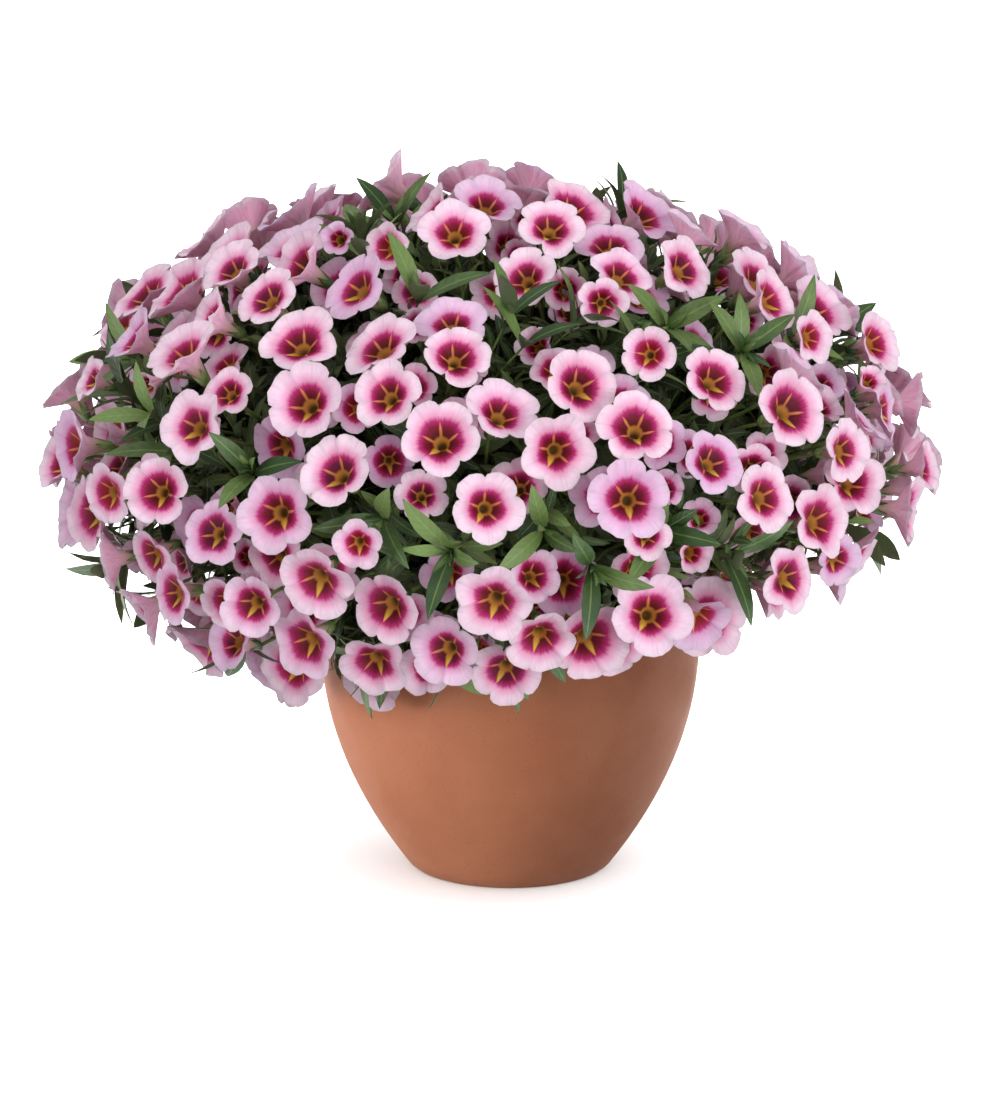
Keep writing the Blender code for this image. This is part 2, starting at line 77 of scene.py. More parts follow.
# The mound and its shoots, as their solids have them
MOUND_LEAN = -9 * MM
MOUND_LEVEL = 166 * MM
MOUND_RADIUS = 177 * MM
MOUND_RISE = 116 * MM
MOUND_DROP = 74 * MM
LOW_SIDE = math.radians(205)
LOW_SIDE_MORE = 11 * MM
SHORT_SIDE = math.radians(325)
SHORT_SIDE_LESS = 20 * MM
SHOULDER = 0.035
SKIRT_TILT = math.radians(150)
SHOOTS = 50
FOOT_CIRCLE = 50 * MM
SHOOT_RADIUS = 1.6 * MM
SHOOT_TIP_RADIUS = 1.3 * MM
FLOWER_REACH = 0.58
LEAF_REACH = 0.70
SKIRT_REACH = 0.24
JOINT_STEP = 3.6 * MM
SHOOT_BENDS = 3
GROWING_POINTS = 280
TUFT_SHARE = 0.262
SEED = 7
TRIES = 40
MATCH = 0.1 * MM  # how near a corner of the solid a pose's mark has to be
LOBES = 5
LOBE_RADIUS = 16.2 * MM
FUNNEL_DEPTH = 10 * MM
TUBE_LENGTH = 17 * MM
TUBE_RADIUS = 1.6 * MM
STALK_RADIUS = 0.75 * MM
LEAF_LENGTH = 29 * MM
LEAF_WIDTH = 11 * MM
LEAF_ARCH = 2.2 * MM
TUFT_DEPTH = 0.90
TUFT_LEAVES = 3
TWIG_RADIUS = 0.95 * MM
GOLDEN_TURN = math.pi * (3 - math.sqrt(5))
PLASTIC_STEP = 1 / 1.3247179572

# What is added between them
SMALL_TRIES = 9000  # places on the mound where a small bloom is tried
HALF_OPEN_SHARE = 0.15
EYE_RADIUS = 0.55  # a bloom's eye, in mouth radii
EYE_GAP = 24 * MM  # a small bloom's mouth stays this far off a large one's eye
STALK_GAP = 14 * MM  # and its stalk this far off any eye
LEAF_GAP = 12 * MM  # how far in front of a mouth leaves stay out
TWIG_STEPS = 6
TWIG_SIDES = 5
STEM_STEPS = 14
STEM_SIDES = 7
BLADE_FOLD = 0.22  # how steeply a blade rises from its rib
SPRIG_LENGTH = 42 * MM  # the outer part of a sprig, which carries its leaves

# The keys of the random draws
DRAW_SPRIGS, DRAW_SPRIG_LEAVES, DRAW_ROSETTES = 1000, 1001, 1100
DRAW_BLOOMS, DRAW_STALKS, DRAW_LEAVES, DRAW_CRUMBS, DRAW_SMALL = 2000, 2500, 2600, 3000, 4000


def linear(red, green, blue):
    """A screen colour as linear light: (c + 0.055) / 1.055 to the power 2.4, a channel."""
    return tuple(((c + 0.055) / 1.055) ** 2.4 for c in (red, green, blue))


# Sizes and colours that a user would change


def length(name, text, default):
    return FloatProperty(name=name, description=text, default=default, min=0, unit="LENGTH")


def share(name, text, default, top=1.0):
    return FloatProperty(name=name, description=text, default=default, min=0, max=top)


def power(name, text, default):
    return FloatProperty(name=name, description=text, default=default, min=0, unit="POWER")


def colour(name, text, default):
    return FloatVectorProperty(
        name=name, description=text, default=default, min=0, max=1, size=3, subtype="COLOR"
    )


class PotSettings(bpy.types.PropertyGroup):
    segments: IntProperty(
        name="Segments", description="Faces round the pot", default=128, min=32, max=256
    )
    clay: colour("Clay", "Fired clay", linear(0.82, 0.52, 0.375))
    burnt: colour("Burnt clay", "Darker cloudy patches in the clay", linear(0.77, 0.465, 0.33))
    speck: colour("Specks", "Fine grains in the clay", linear(0.64, 0.37, 0.25))


class MixSettings(bpy.types.PropertyGroup):
    bump: length("Bumps", "Height of the lumps on top of the potting mix", 2.0 * MM)
    crumbs: IntProperty(name="Crumbs", description="Loose crumbs of bark", default=160, min=0)
    peat: colour("Peat", "Damp peat", linear(0.16, 0.12, 0.09))
    bark: colour("Bark", "Loose crumbs of bark", linear(0.33, 0.22, 0.14))


class BloomSettings(bpy.types.PropertyGroup):
    ruffle: length("Ruffle", "How far the margin waves up and down", 1.0 * MM)
    curl: length("Curl", "How far the lobes' tips bend back", 1.3 * MM)
    more: IntProperty(
        name="Small blooms", description="Small blooms between the large ones, at most",
        default=280, min=0,
    )
    margin: colour("Margin", "Pale edge of the lobes", linear(0.965, 0.835, 0.905))
    pink: colour("Pink", "Middle of the lobes", linear(0.90, 0.60, 0.75))
    magenta: colour("Magenta", "Fade round the eye", linear(0.73, 0.16, 0.45))
    crimson: colour("Crimson", "Dark patches of the eye", linear(0.47, 0.02, 0.17))
    heart: colour("Heart", "Darkest part of the patches, by the rays", linear(0.33, 0.0, 0.05))
    star: colour("Star", "Broad ray", linear(0.88, 0.72, 0.27))
    ring: colour("Ring", "Round the mouth of the tube", linear(0.70, 0.47, 0.20))
    throat: colour("Throat", "Inside of the tube", linear(0.38, 0.27, 0.11))
    outside: colour("Outside", "Back of the lobes and the tube", linear(0.98, 0.77, 0.87))
    vein: colour("Vein", "Veins on the back of the lobes", linear(0.90, 0.54, 0.71))


class LeafSettings(bpy.types.PropertyGroup):
    sprigs: IntProperty(
        name="Sprigs", description="Leafy side twigs between the blooms", default=950, min=0
    )
    leaves: IntProperty(name="Leaves", description="Leaves on each sprig", default=11, min=3)
    size: length("Leaf", "Length of a sprig's largest leaves", 19 * MM)
    width: share("Width", "A leaf's width as a share of its length", 0.30)
    young: colour("Young leaf", "Fresh light green", linear(0.44, 0.54, 0.29))
    old: colour("Old leaf", "Deep green", linear(0.16, 0.28, 0.12))
    under: colour("Underside", "Dull underside", linear(0.42, 0.48, 0.34))


class StageSettings(bpy.types.PropertyGroup):
    distance: length("Distance", "From the camera to the plant", 2.0)
    elevation: FloatProperty(
        name="Elevation", description="How far the camera looks down",
        default=math.radians(14), subtype="ANGLE",
    )
    view_height: length("View height", "What the picture takes in at the plant", 0.4498)
    pot_power: power("Pot light", "From the left, on the pot alone", 47)
    left_power: power("Left light", "From the left, on the plant alone", 22)
    right_power: power("Right light", "From the right, on the plant alone", 34)
    front_power: power("Front light", "From the front, on the plant alone", 20)
    top_power: power("Top light", "From above, on everything", 8)
    floor_power: power("Floor light", "Whitens the floor alone", 300)
    room: share("Room", "Strength of the white room's light from above", 0.66, 5.0)
    shade: share("Shade", "Strength of its light from below", 0.16, 5.0)


SETTINGS = {
    "calibrachoa_pot": PotSettings,
    "calibrachoa_mix": MixSettings,
    "calibrachoa_bloom": BloomSettings,
    "calibrachoa_leaf": LeafSettings,
    "calibrachoa_stage": StageSettings,
}


# Materials


class Value:
    """A number from a node's socket. Operators on it add Math nodes."""

    def __init__(self, finish, socket):
        self.finish, self.socket = finish, socket

    def __add__(self, other):
        return self.finish.math("ADD", self, other)

    def __sub__(self, other):
        return self.finish.math("SUBTRACT", self, other)

    def __rsub__(self, other):
        return self.finish.math("SUBTRACT", other, self)

    def __mul__(self, other):
        return self.finish.math("MULTIPLY", self, other)

    def __truediv__(self, other):
        return self.finish.math("DIVIDE", self, other)

    def __rtruediv__(self, other):
        return self.finish.math("DIVIDE", other, self)

    __radd__ = __add__
    __rmul__ = __mul__


class Nodes:
    """Builds up a node tree, one node at a time."""

    def __init__(self, owner):
        owner.use_nodes = True
        self.tree = owner.node_tree

    def node(self, kind, settings=(), inputs=(), output=0):
        """One node of this type: its settings come first, then its sockets' values or links."""
        made = self.tree.nodes.new(kind)
        for name, value in dict(settings).items():
            setattr(made, name, value)
        for name, value in dict(inputs).items():
            self.feed(made.inputs[name], value)
        return Value(self, made.outputs[output])

    def feed(self, socket, value):
        if isinstance(value, Value):
            self.tree.links.new(value.socket, socket)
        elif hasattr(value, "__len__") and len(value) == 3 and socket.type == "RGBA":
            socket.default_value = (*value, 1)
        else:
            socket.default_value = value

    def math(self, operation, *values):
        return self.node("ShaderNodeMath", {"operation": operation}, dict(enumerate(values)))

    def smooth(self, value, low, high):
        """0 below low and 1 above high, with a soft step between."""
        inputs = {"Value": value, "From Min": low, "From Max": high}
        return self.node("ShaderNodeMapRange", {"interpolation_type": "SMOOTHSTEP"}, inputs)

    def mix(self, factor, first, second):
        inputs = {"Factor": factor, 6: first, 7: second}
        return self.node("ShaderNodeMix", {"data_type": "RGBA"}, inputs, 2)

    def vector(self, x, y, z):
        return self.node("ShaderNodeCombineXYZ", (), {0: x, 1: y, 2: z})

    def shade(self, colours, amount):
        """A colour times a number: the number is made a vector first."""
        inputs = {0: colours, 1: self.vector(amount, amount, amount)}
        return self.node("ShaderNodeVectorMath", {"operation": "MULTIPLY"}, inputs)

    def noise(self, vector, scale, detail=2.0, roughness=0.5):
        inputs = {"Vector": vector, "Scale": scale, "Detail": detail, "Roughness": roughness}
        return self.node("ShaderNodeTexNoise", (), inputs)

    def place(self, kind="Object"):
        return self.node("ShaderNodeTexCoord", (), (), kind)


class Finish(Nodes):
    """A material that is built up from nodes. Constant settings go straight on its shader."""

    def __init__(self, name, roughness, gloss):
        self.material = bpy.data.materials.new(name)
        super().__init__(self.material)
        self.shader = self.tree.nodes["Principled BSDF"]
        self.shader.inputs["Roughness"].default_value = roughness
        self.shader.inputs["Specular IOR Level"].default_value = gloss

    def map_axes(self, name):
        """The two axes of the piece's own UV map."""
        place = self.node("ShaderNodeUVMap", {"uv_map": name})
        split = self.node("ShaderNodeSeparateXYZ", (), {0: place})
        return split, Value(self, split.socket.node.outputs[1])

    def tints(self):
        """The three draws of each grown shape, which its points carry."""
        tint = self.node("ShaderNodeAttribute", {"attribute_name": "tint"})
        split = self.node("ShaderNodeSeparateColor", (), {0: tint})
        return [Value(self, socket) for socket in split.socket.node.outputs]

    def wear(self, colours, roughness=None, bump=None, strength=0.2, depth=0.3 * MM):
        """Joins a colour, a roughness and a bump height to the shader."""
        self.feed(self.shader.inputs["Base Color"], colours)
        if roughness is not None:
            self.feed(self.shader.inputs["Roughness"], roughness)
        if bump is not None:
            inputs = {"Height": bump, "Strength": strength, "Distance": depth}
            self.feed(self.shader.inputs["Normal"], self.node("ShaderNodeBump", (), inputs))
        return self.material


def clay_finish(settings):
    """Matt fired clay: cloudy patches, fine grains and faint lines from the wheel."""
    finish = Finish("fired_clay", roughness=0.64, gloss=0.36)
    place = finish.place()
    clouds = finish.smooth(finish.noise(place, 22, 4, 0.6), 0.35, 0.7)
    grains = finish.smooth(finish.noise(place, 900, 2, 0.6), 0.60, 0.72)
    colours = finish.mix(clouds * 0.55, tuple(settings.clay), tuple(settings.burnt))
    colours = finish.mix(grains * 0.32, colours, tuple(settings.speck))
    stretch = {"Vector": place, "Scale": (6, 6, 420)}
    rings = finish.noise(finish.node("ShaderNodeMapping", (), stretch), 1.0, 2, 0.6)
    height = rings * 0.6 + finish.noise(place, 650, 3, 0.65) * 0.5
    return finish.wear(colours, 0.58 + clouds * 0.12, height, 0.25, 0.35 * MM)


# The colours in the hollows between crumbs: painted shade.
PEAT_SHADE = linear(0.08, 0.06, 0.05)
BARK_SHADE = linear(0.15, 0.10, 0.07)


def peat_finish(name, dark, light):
    """Damp crumbly peat: dark between the crumbs and lighter on them. The dark is painted shade,
    laid in the hollows of the same noise that makes the bump.
    """
    finish = Finish(name, roughness=0.95, gloss=0.2)
    place = finish.place()
    crumbs = finish.noise(place, 260, 5, 0.7)
    # Painted shade: where the bump is low, the colour is dark.
    colours = finish.mix(finish.smooth(crumbs, 0.35, 0.75), dark, light)
    return finish.wear(colours, None, crumbs, 0.8, 1.2 * MM)


# Shades of the petals that vary from bloom to bloom or show only in places
LILAC = linear(0.80, 0.64, 0.83)
VIOLET_EYE = linear(0.33, 0.02, 0.20)
RED_EYE = linear(0.60, 0.06, 0.12)
NARROW_RAY = linear(0.90, 0.57, 0.36)
TUBE_END = linear(0.80, 0.74, 0.52)


def petal_finish(settings):
    """A bloom's face on its flattened map: reach is the distance from the middle in lobe radii,
    and turn the angle. Rays stand on the seams between lobes, and the dark patches between the
    rays fade by way of magenta and pink to the pale margin. Past reach 1 comes the back, then the
    tube. The first draw tints the eye, the second sets its width, the third makes lilac blooms."""
    finish = Finish("petal", roughness=0.62, gloss=0.22)
    finish.shader.inputs["Subsurface Weight"].default_value = 0.4
    finish.shader.inputs["Subsurface Radius"].default_value = (1.0, 0.55, 0.7)
    finish.shader.inputs["Subsurface Scale"].default_value = 1.5 * MM
    x, y = finish.map_axes("flower")
    eye_tint, eye_width, lilac_draw = finish.tints()
    reach = finish.math("SQRT", x * x + y * y)
    turn = finish.math("ARCTAN2", y, x)
    lobe = finish.math("COSINE", turn * LOBES)
    streak = finish.noise(finish.vector(x / reach * 5, y / reach * 5, reach), 2.2, 3, 0.6)
    cloud = finish.noise(finish.vector(x, y, eye_tint * 9), 3.0, 2)

    eye = reach * (1.19 - eye_width * 0.22) - lobe * 0.03 + (streak - 0.5) * 0.14
    colours = finish.mix(
        finish.smooth(eye, 0.55, 0.86), tuple(settings.pink), tuple(settings.margin)
    )
    colours = finish.mix(finish.smooth(lilac_draw, 0.55, 1.0) * 0.45, colours, LILAC)
    colours = finish.shade(colours, 1.04 - finish.smooth(streak, 0.45, 0.75) * 0.13)
    colours = finish.shade(colours, 1.05 - finish.smooth(cloud, 0.4, 0.7) * 0.10)
    colours = finish.shade(colours, 1 - finish.smooth(lobe, 0.975, 1.0) * 0.07)
    colours = finish.mix(finish.smooth(eye, 0.63, 0.49), colours, tuple(settings.magenta))
    near_rays = finish.smooth(eye, 0.40, 0.22)
    dark = finish.mix(near_rays, tuple(settings.crimson), tuple(settings.heart))
    dark = finish.mix(finish.smooth(eye_tint, 0.7, 1.0) * 0.6, dark, VIOLET_EYE)
    dark = finish.mix(finish.smooth(eye_tint, 0.3, 0.0) * 0.5, dark, RED_EYE)
    colours = finish.mix(finish.smooth(eye, 0.54, 0.36), colours, dark)

    along_seam = finish.math("FRACT", turn * (LOBES / (2 * math.pi)) + 10)
    aside = finish.math("ABSOLUTE", along_seam - 0.5) * reach * (2 * math.pi / LOBES)
    broad = finish.smooth(finish.math("COSINE", turn), -0.80, -0.95)
    to_tip = finish.math("MAXIMUM", 0.47 - reach, 0)
    wide = finish.math("MINIMUM", to_tip, 0.14 + broad * 0.11) * (0.36 + broad * 0.19)
    ray = finish.smooth(aside, wide, wide * 0.3 - 0.004)
    warm = finish.mix(broad, NARROW_RAY, tuple(settings.star))
    warm = finish.mix(finish.smooth(reach, 0.36, 0.20) * 0.6, warm, tuple(settings.ring))
    colours = finish.mix(ray * (0.80 + broad * 0.15), colours, warm)
    colours = finish.mix(finish.smooth(reach, 0.215, 0.145), colours, tuple(settings.ring))
    colours = finish.mix(finish.smooth(reach, 0.155, 0.075), colours, tuple(settings.throat))

    behind = finish.smooth(reach, 1.02, 1.14)
    tube = finish.mix(finish.smooth(reach, 1.6, 2.6), tuple(settings.outside), TUBE_END)
    tube = finish.mix(finish.smooth(streak, 0.46, 0.68) * 0.50, tube, tuple(settings.vein))
    return finish.wear(finish.mix(behind, colours, tube), None, streak, 0.30, 0.5 * MM)


def leaf_finish(settings):
    """A leaf on its own map: u is the distance from the rib, 0 to 1 on top and 1 to 2 underneath,
    and v runs from stalk to tip. The rib is pale, side veins slant, and each leaf has its own
    green.
    The third draw darkens it as painted shade, the more the deeper inside the mound a leaf stands."""
    finish = Finish("leaf", roughness=0.48, gloss=0.42)
    u, v = finish.map_axes("blade")
    age, light, deep = finish.tints()
    cloud = finish.noise(finish.place(), 160, 2)
    aged = finish.smooth(age + (cloud - 0.5) * 0.5, 0.1, 0.95)
    green = finish.mix(aged, tuple(settings.young), tuple(settings.old))
    # Painted shade: the third draw, deep, darkens the green by up to 84 %.
    green = finish.shade(green, (0.77 + light * 0.42) * (1 - deep * 0.84))
    veins = finish.math("SINE", (v - u * 0.18) * 46) * 0.5 + 0.5
    green = finish.shade(green, 1.03 - finish.smooth(veins, 0.75, 1.0) * 0.14)
    green = finish.mix(finish.smooth(u, 0.13, 0.03) * 0.5, green, linear(0.52, 0.62, 0.34))
    green = finish.mix(finish.smooth(u, 0.98, 1.12) * 0.75, green, tuple(settings.under))
    return finish.wear(green, 0.42 + cloud * 0.16, veins, 0.22, 0.25 * MM)


def stem_finish():
    """Green stems, browner in places, with fine length-wise grain."""
    finish = Finish("stem", roughness=0.6, gloss=0.3)
    place = finish.place()
    patches = finish.smooth(finish.noise(place, 55, 3), 0.4, 0.75)
    colours = finish.mix(patches, linear(0.34, 0.43, 0.19), linear(0.30, 0.28, 0.15))
    return finish.wear(colours, None, finish.noise(place, 1500, 2), 0.3, 0.2 * MM)


def paper_finish():
    """White studio paper. It gives off some light of its own, so that it stays white in shade."""
    finish = Finish("studio_paper", roughness=0.9, gloss=0.0)
    fibre = finish.noise(finish.place(), 300, 2)
    finish.shader.inputs["Emission Color"].default_value = (1, 1, 1, 1)
    finish.shader.inputs["Emission Strength"].default_value = 0.05
    return finish.wear(finish.mix(fibre, (0.86, 0.86, 0.86), (0.88, 0.88, 0.88)))


def room_light(settings):
    """A white room, less bright below and on the right."""
    world = bpy.data.worlds.new("white_room")
    nodes = Nodes(world)
    x = nodes.node("ShaderNodeSeparateXYZ", (), {0: nodes.place("Generated")})
    z = Value(nodes, x.socket.node.outputs[2])
    lit = nodes.smooth(z, -0.35, 0.55) * (1 - nodes.smooth(x, -0.3, 1.0) * 0.28)
    background = world.node_tree.nodes["Background"]
    background.inputs["Color"].default_value = (1, 1, 1, 1)
    strength = lit * (settings.room - settings.shade) + settings.shade
    nodes.feed(background.inputs["Strength"], strength)
    return world


# Meshes of rings


def joined_faces(shapes, rings, columns):
    """Quads between neighbouring rings of each shape, all round it, and a face on either end."""
    start = np.arange(shapes)[:, None, None] * rings * columns
    row = np.arange(rings - 1)[None, :, None] * columns
    here = np.arange(columns)[None, None, :]
    there = (here + 1) % columns
    low, high = start + row, start + row + columns
    quads = np.stack(np.broadcast_arrays(low + here, low + there, high + there, high + here), -1)
    first = start[:, 0] + here[0, :, ::-1]
    last = start[:, 0] + (rings - 1) * columns + here[0]
    return quads.reshape(-1, 4), np.vstack([first, last])


def corner_map(shapes, uv):
    """The UV of every face corner in the order of joined_faces, from uv[ring, column], where the
    last column closes the round."""
    low, high = uv[:-1], uv[1:]
    quads = np.stack([low[:, :-1], low[:, 1:], high[:, 1:], high[:, :-1]], axis=2).reshape(-1, 2)
    first, last = uv[0, -2::-1], uv[-1, :-1]
    parts = [np.tile(quads, (shapes, 1)), np.tile(first, (shapes, 1)), np.tile(last, (shapes, 1))]
    return np.vstack(parts)


def ring_group(rings, uv, tints, finish, sharp_rings=(), sharp_columns=()):
    """Shapes of one kind: points[shape, ring, column], their map, three draws each, their finish,
    and the rings and columns that are sharp edges."""
    return {
        "rings": rings, "uv": uv, "tints": tints, "finish": finish,
        "sharp_rings": sharp_rings, "sharp_columns": sharp_columns,
    }


def build_piece(name, groups, map_name, slot, node=None):
    """One mesh object from groups of rings, which rides on the model's only body."""
    points, tints, loops, sizes, uvs, finishes, sharp = [], [], [], [], [], [], []
    offset = 0
    for number, group in enumerate(groups):
        shapes, rings, columns, _ = group["rings"].shape
        quads, ends = joined_faces(shapes, rings, columns)
        points.append(group["rings"].reshape(-1, 3))
        tints.append(np.repeat(group["tints"], rings * columns, axis=0))
        loops += [(quads + offset).ravel(), (ends + offset).ravel()]
        sizes += [np.full(len(quads), 4), np.full(len(ends), columns)]
        uvs.append(corner_map(shapes, group["uv"]))
        finishes.append(np.full(len(quads) + len(ends), number))
        on_ring = np.isin(np.arange(rings), group["sharp_rings"])[:, None] * np.ones(columns, bool)
        on_column = np.isin(np.arange(columns), group["sharp_columns"]) * np.ones((rings, 1), bool)
        marks = np.stack([on_ring, on_column], -1).reshape(-1, 2)
        ring_number = np.repeat(np.arange(rings), columns)
        sharp.append(np.tile(np.column_stack([marks, ring_number]), (shapes, 1)))
        offset += shapes * rings * columns
    mesh = bpy.data.meshes.new(name)
    points, loops, sizes = np.vstack(points), np.concatenate(loops), np.concatenate(sizes)
    mesh.vertices.add(len(points))
    mesh.vertices.foreach_set("co", points.astype(np.float32).ravel())
    mesh.loops.add(len(loops))
    mesh.loops.foreach_set("vertex_index", loops.astype(np.int32))
    mesh.polygons.add(len(sizes))
    mesh.polygons.foreach_set("loop_start", (np.cumsum(sizes) - sizes).astype(np.int32))
    mesh.polygons.foreach_set("material_index", np.concatenate(finishes).astype(np.int32))
    mesh.update(calc_edges=True)
    mesh.shade_smooth()
    layer = mesh.uv_layers.new(name=map_name)
    layer.uv.foreach_set("vector", np.vstack(uvs).astype(np.float32).ravel())
    tint = mesh.attributes.new("tint", "FLOAT_COLOR", "POINT")
    tints = np.column_stack([np.vstack(tints), np.ones(len(points))])
    tint.data.foreach_set("color", tints.astype(np.float32).ravel())
    ends = np.empty(len(mesh.edges) * 2, np.int32)
    mesh.edges.foreach_get("vertices", ends)
    a, b = np.vstack(sharp)[ends.reshape(-1, 2)].transpose(1, 0, 2)
    hard = (a[:, 0] & b[:, 0] & (a[:, 2] == b[:, 2])) | (a[:, 1] & b[:, 1] & (a[:, 2] != b[:, 2]))
    edge = mesh.attributes.new("sharp_edge", "BOOLEAN", "EDGE")
    edge.data.foreach_set("value", hard.astype(bool))
    for group in groups:
        mesh.materials.append(group["finish"])
    return place_piece(name, mesh, slot, node)


def lit_by(light):
    """The collection of all that a light with its own targets shines on."""
    return bpy.data.collections.get(light) or bpy.data.collections.new(light)


def place_piece(name, mesh, slot, node=None):
    piece = bpy.data.objects.new(name, mesh)
    bpy.context.scene.collection.objects.link(piece)
    lit_by("pot_light" if slot == "terracotta" else "plant_light").objects.link(piece)
    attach(piece, "root")
    if node:
        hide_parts(node)
    return piece


def unit(vectors):
    return vectors / np.linalg.norm(vectors, axis=-1, keepdims=True)


def across(directions, hints):
    """The part of each hint that is square to its direction, at unit length."""
    return unit(hints - (hints * directions).sum(-1, keepdims=True) * directions)


def even_angles(count):
    return np.arange(count) * 2 * math.pi / count


def spokes(u, v, angles):
    """Directions at these angles from u towards v: cos a * u + sin a * v."""
    return u[..., None, :] * np.cos(angles)[:, None] + v[..., None, :] * np.sin(angles)[:, None]


def swept(paths, radii, columns, hint):
    """Round tubes: at each point of a path, a circle of that radius, square to the path there.
    paths[tube, point], radii[tube, point], and a hint for where each circle starts."""
    along = unit(np.gradient(paths, axis=1))
    u = across(along, np.array(hint))
    circle = spokes(u, np.cross(along, u), even_angles(columns))
    return paths[:, :, None] + circle * radii[..., None, None]


def bezier(first, second, third, steps):
    """Points of quadratic curves: (1-t)^2 first + 2t(1-t) second + t^2 third."""
    t = steps.reshape(1, -1, 1)
    first, second, third = first[:, None], second[:, None], third[:, None]
    return (1 - t) ** 2 * first + 2 * t * (1 - t) * second + t * t * third


# How the plant grows, as its solids have it


def draw(*key):
    return np.random.default_rng([SEED, *key])


def mound_height(tilt, turn):
    short = np.maximum(np.cos(turn - SHORT_SIDE), 0) ** 3
    drop = MOUND_DROP + LOW_SIDE_MORE * np.cos(turn - LOW_SIDE) - SHORT_SIDE_LESS * short
    return np.where(np.cos(tilt) > 0, MOUND_RISE, drop)


def mound_point(tilt, turn, share=1.0):
    """A point at this share of the way out from the mound's middle, on a flat globe with
    shoulders."""
    swell = share * (1 + SHOULDER * np.cos(2 * turn) * np.maximum(np.sin(2 * tilt), 0))
    out = MOUND_RADIUS * np.sin(tilt) * swell
    height = MOUND_LEVEL + swell * mound_height(tilt, turn) * np.cos(tilt)
    return np.stack([MOUND_LEAN + out * np.cos(turn), out * np.sin(turn), height], -1)


def mound_normal(tilt, turn):
    out = np.sin(tilt) / MOUND_RADIUS
    up = np.cos(tilt) / mound_height(tilt, turn)
    return unit(np.stack([out * np.cos(turn), out * np.sin(turn), up], -1))


def even_spread(count):
    """Tilts and turns along a golden spiral, each with the same area of the mound's surface."""
    tilts = np.linspace(0, SKIRT_TILT, 400)
    rise = np.where(np.cos(tilts) > 0, MOUND_RISE, MOUND_DROP)
    slant = np.hypot(MOUND_RADIUS * np.cos(tilts), rise * np.sin(tilts))
    area = np.cumsum(np.sin(tilts) * slant)
    shares = (np.arange(count) + 0.5) / count
    return np.interp(shares, area / area[-1], tilts), np.arange(count) * GOLDEN_TURN


SHOOT_TILTS, SHOOT_TURNS = even_spread(SHOOTS)
POINT_TILTS, POINT_TURNS = even_spread(GROWING_POINTS)
IS_TUFT = np.arange(GROWING_POINTS) * PLASTIC_STEP % 1 < TUFT_SHARE


def shoot_route(number, bends=SHOOT_BENDS):
    """A shoot's middle line: up out of the soil, then a cubic curve to its share of the mound."""
    tilt, turn = SHOOT_TILTS[number], SHOOT_TURNS[number]
    away = np.array([math.cos(turn), math.sin(turn), 0.0])
    foot = away * FOOT_CIRCLE * math.sqrt((number + 0.5) / SHOOTS)
    low = tilt / SKIRT_TILT
    reach = (FLOWER_REACH if number % 2 == 0 else LEAF_REACH) + SKIRT_REACH * low**3
    hub = mound_point(tilt, turn, reach)
    start = foot + UP * (SOIL_TOP + 0.002)
    first = start + UP * (0.022 + 0.043 * low) + away * 0.012 * low
    last = hub - mound_normal(tilt, turn) * (0.018 + 0.026 * low)
    s = np.linspace(0, 1, bends + 1)[:, None]
    r = 1 - s
    curve = r**3 * start + 3 * r * r * s * first + 3 * r * s * s * last + s**3 * hub
    return np.vstack([foot + UP * (SOIL_TOP - HOLE_DEPTH + SEAT_GAP), curve])


ROUTES = [shoot_route(number) for number in range(SHOOTS)]


def joint_on(route, back):
    """The point on a shoot's middle line this far back from its end."""
    for low, high in zip(route[-2::-1], route[:0:-1]):
        step = np.linalg.norm(high - low)
        if back <= step:
            return high + (low - high) * back / step
        back -= step
    return route[1]


def share_out(first):
    """The shoot of each growing point of one kind, blooms (0) or tufts (1), and how far back from
    the shoot's end it joins."""
    shoots = range(first, SHOOTS, 2)
    numbers = np.flatnonzero(IS_TUFT == bool(first))
    places = {n: mound_point(POINT_TILTS[n], POINT_TURNS[n]) for n in numbers}
    apart = sorted(
        (np.linalg.norm(ROUTES[shoot][-1] - places[n]), n, shoot)
        for n in numbers
        for shoot in shoots
    )
    most = math.ceil(len(numbers) / len(shoots)) + 1
    held = dict.fromkeys(shoots, 0)
    joints = {}
    for limit in (2, most):
        for _, number, shoot in apart:
            if number not in joints and held[shoot] < limit:
                joints[number] = (shoot, JOINT_STEP * (held[shoot] + 0.3))
                held[shoot] += 1
    return joints


def growing_point(number, attempt):
    random = draw(number, attempt)
    loose = (5 + 0.22 * attempt) * MM
    tilt = POINT_TILTS[number] + random.normal() * loose / MOUND_RADIUS
    round_here = MOUND_RADIUS * max(math.sin(tilt), 0.15)
    turn = POINT_TURNS[number] + random.normal() * loose / round_here
    share = 1.0 + random.uniform(-0.055, 0.03)
    return min(max(tilt, 0.02), SKIRT_TILT), turn, share, random


def bloom_pose(number, attempt, joint):
    """Where a bloom's mouth is, which way it faces, where its first lobe stands, and its size."""
    tilt, turn, share, random = growing_point(number, attempt)
    normal = mound_normal(tilt, turn)
    rise = 0.14 + (0.62 if normal[2] > 0 else 0.36) * normal[2]
    away = np.array([math.cos(turn), math.sin(turn), 0.0])
    facing = unit(away * math.sqrt(1 - rise * rise) + UP * rise + random.normal(size=3) * 0.20)
    size = random.uniform(0.86, 1.12) * (1 - 0.006 * attempt)
    centre = mound_point(tilt, turn, share)
    side = across(facing, random.normal(size=3))
    return {
        "centre": centre, "facing": facing, "side": side, "size": size, "joint": joint,
        "mark": centre - facing * FUNNEL_DEPTH * size,
    }


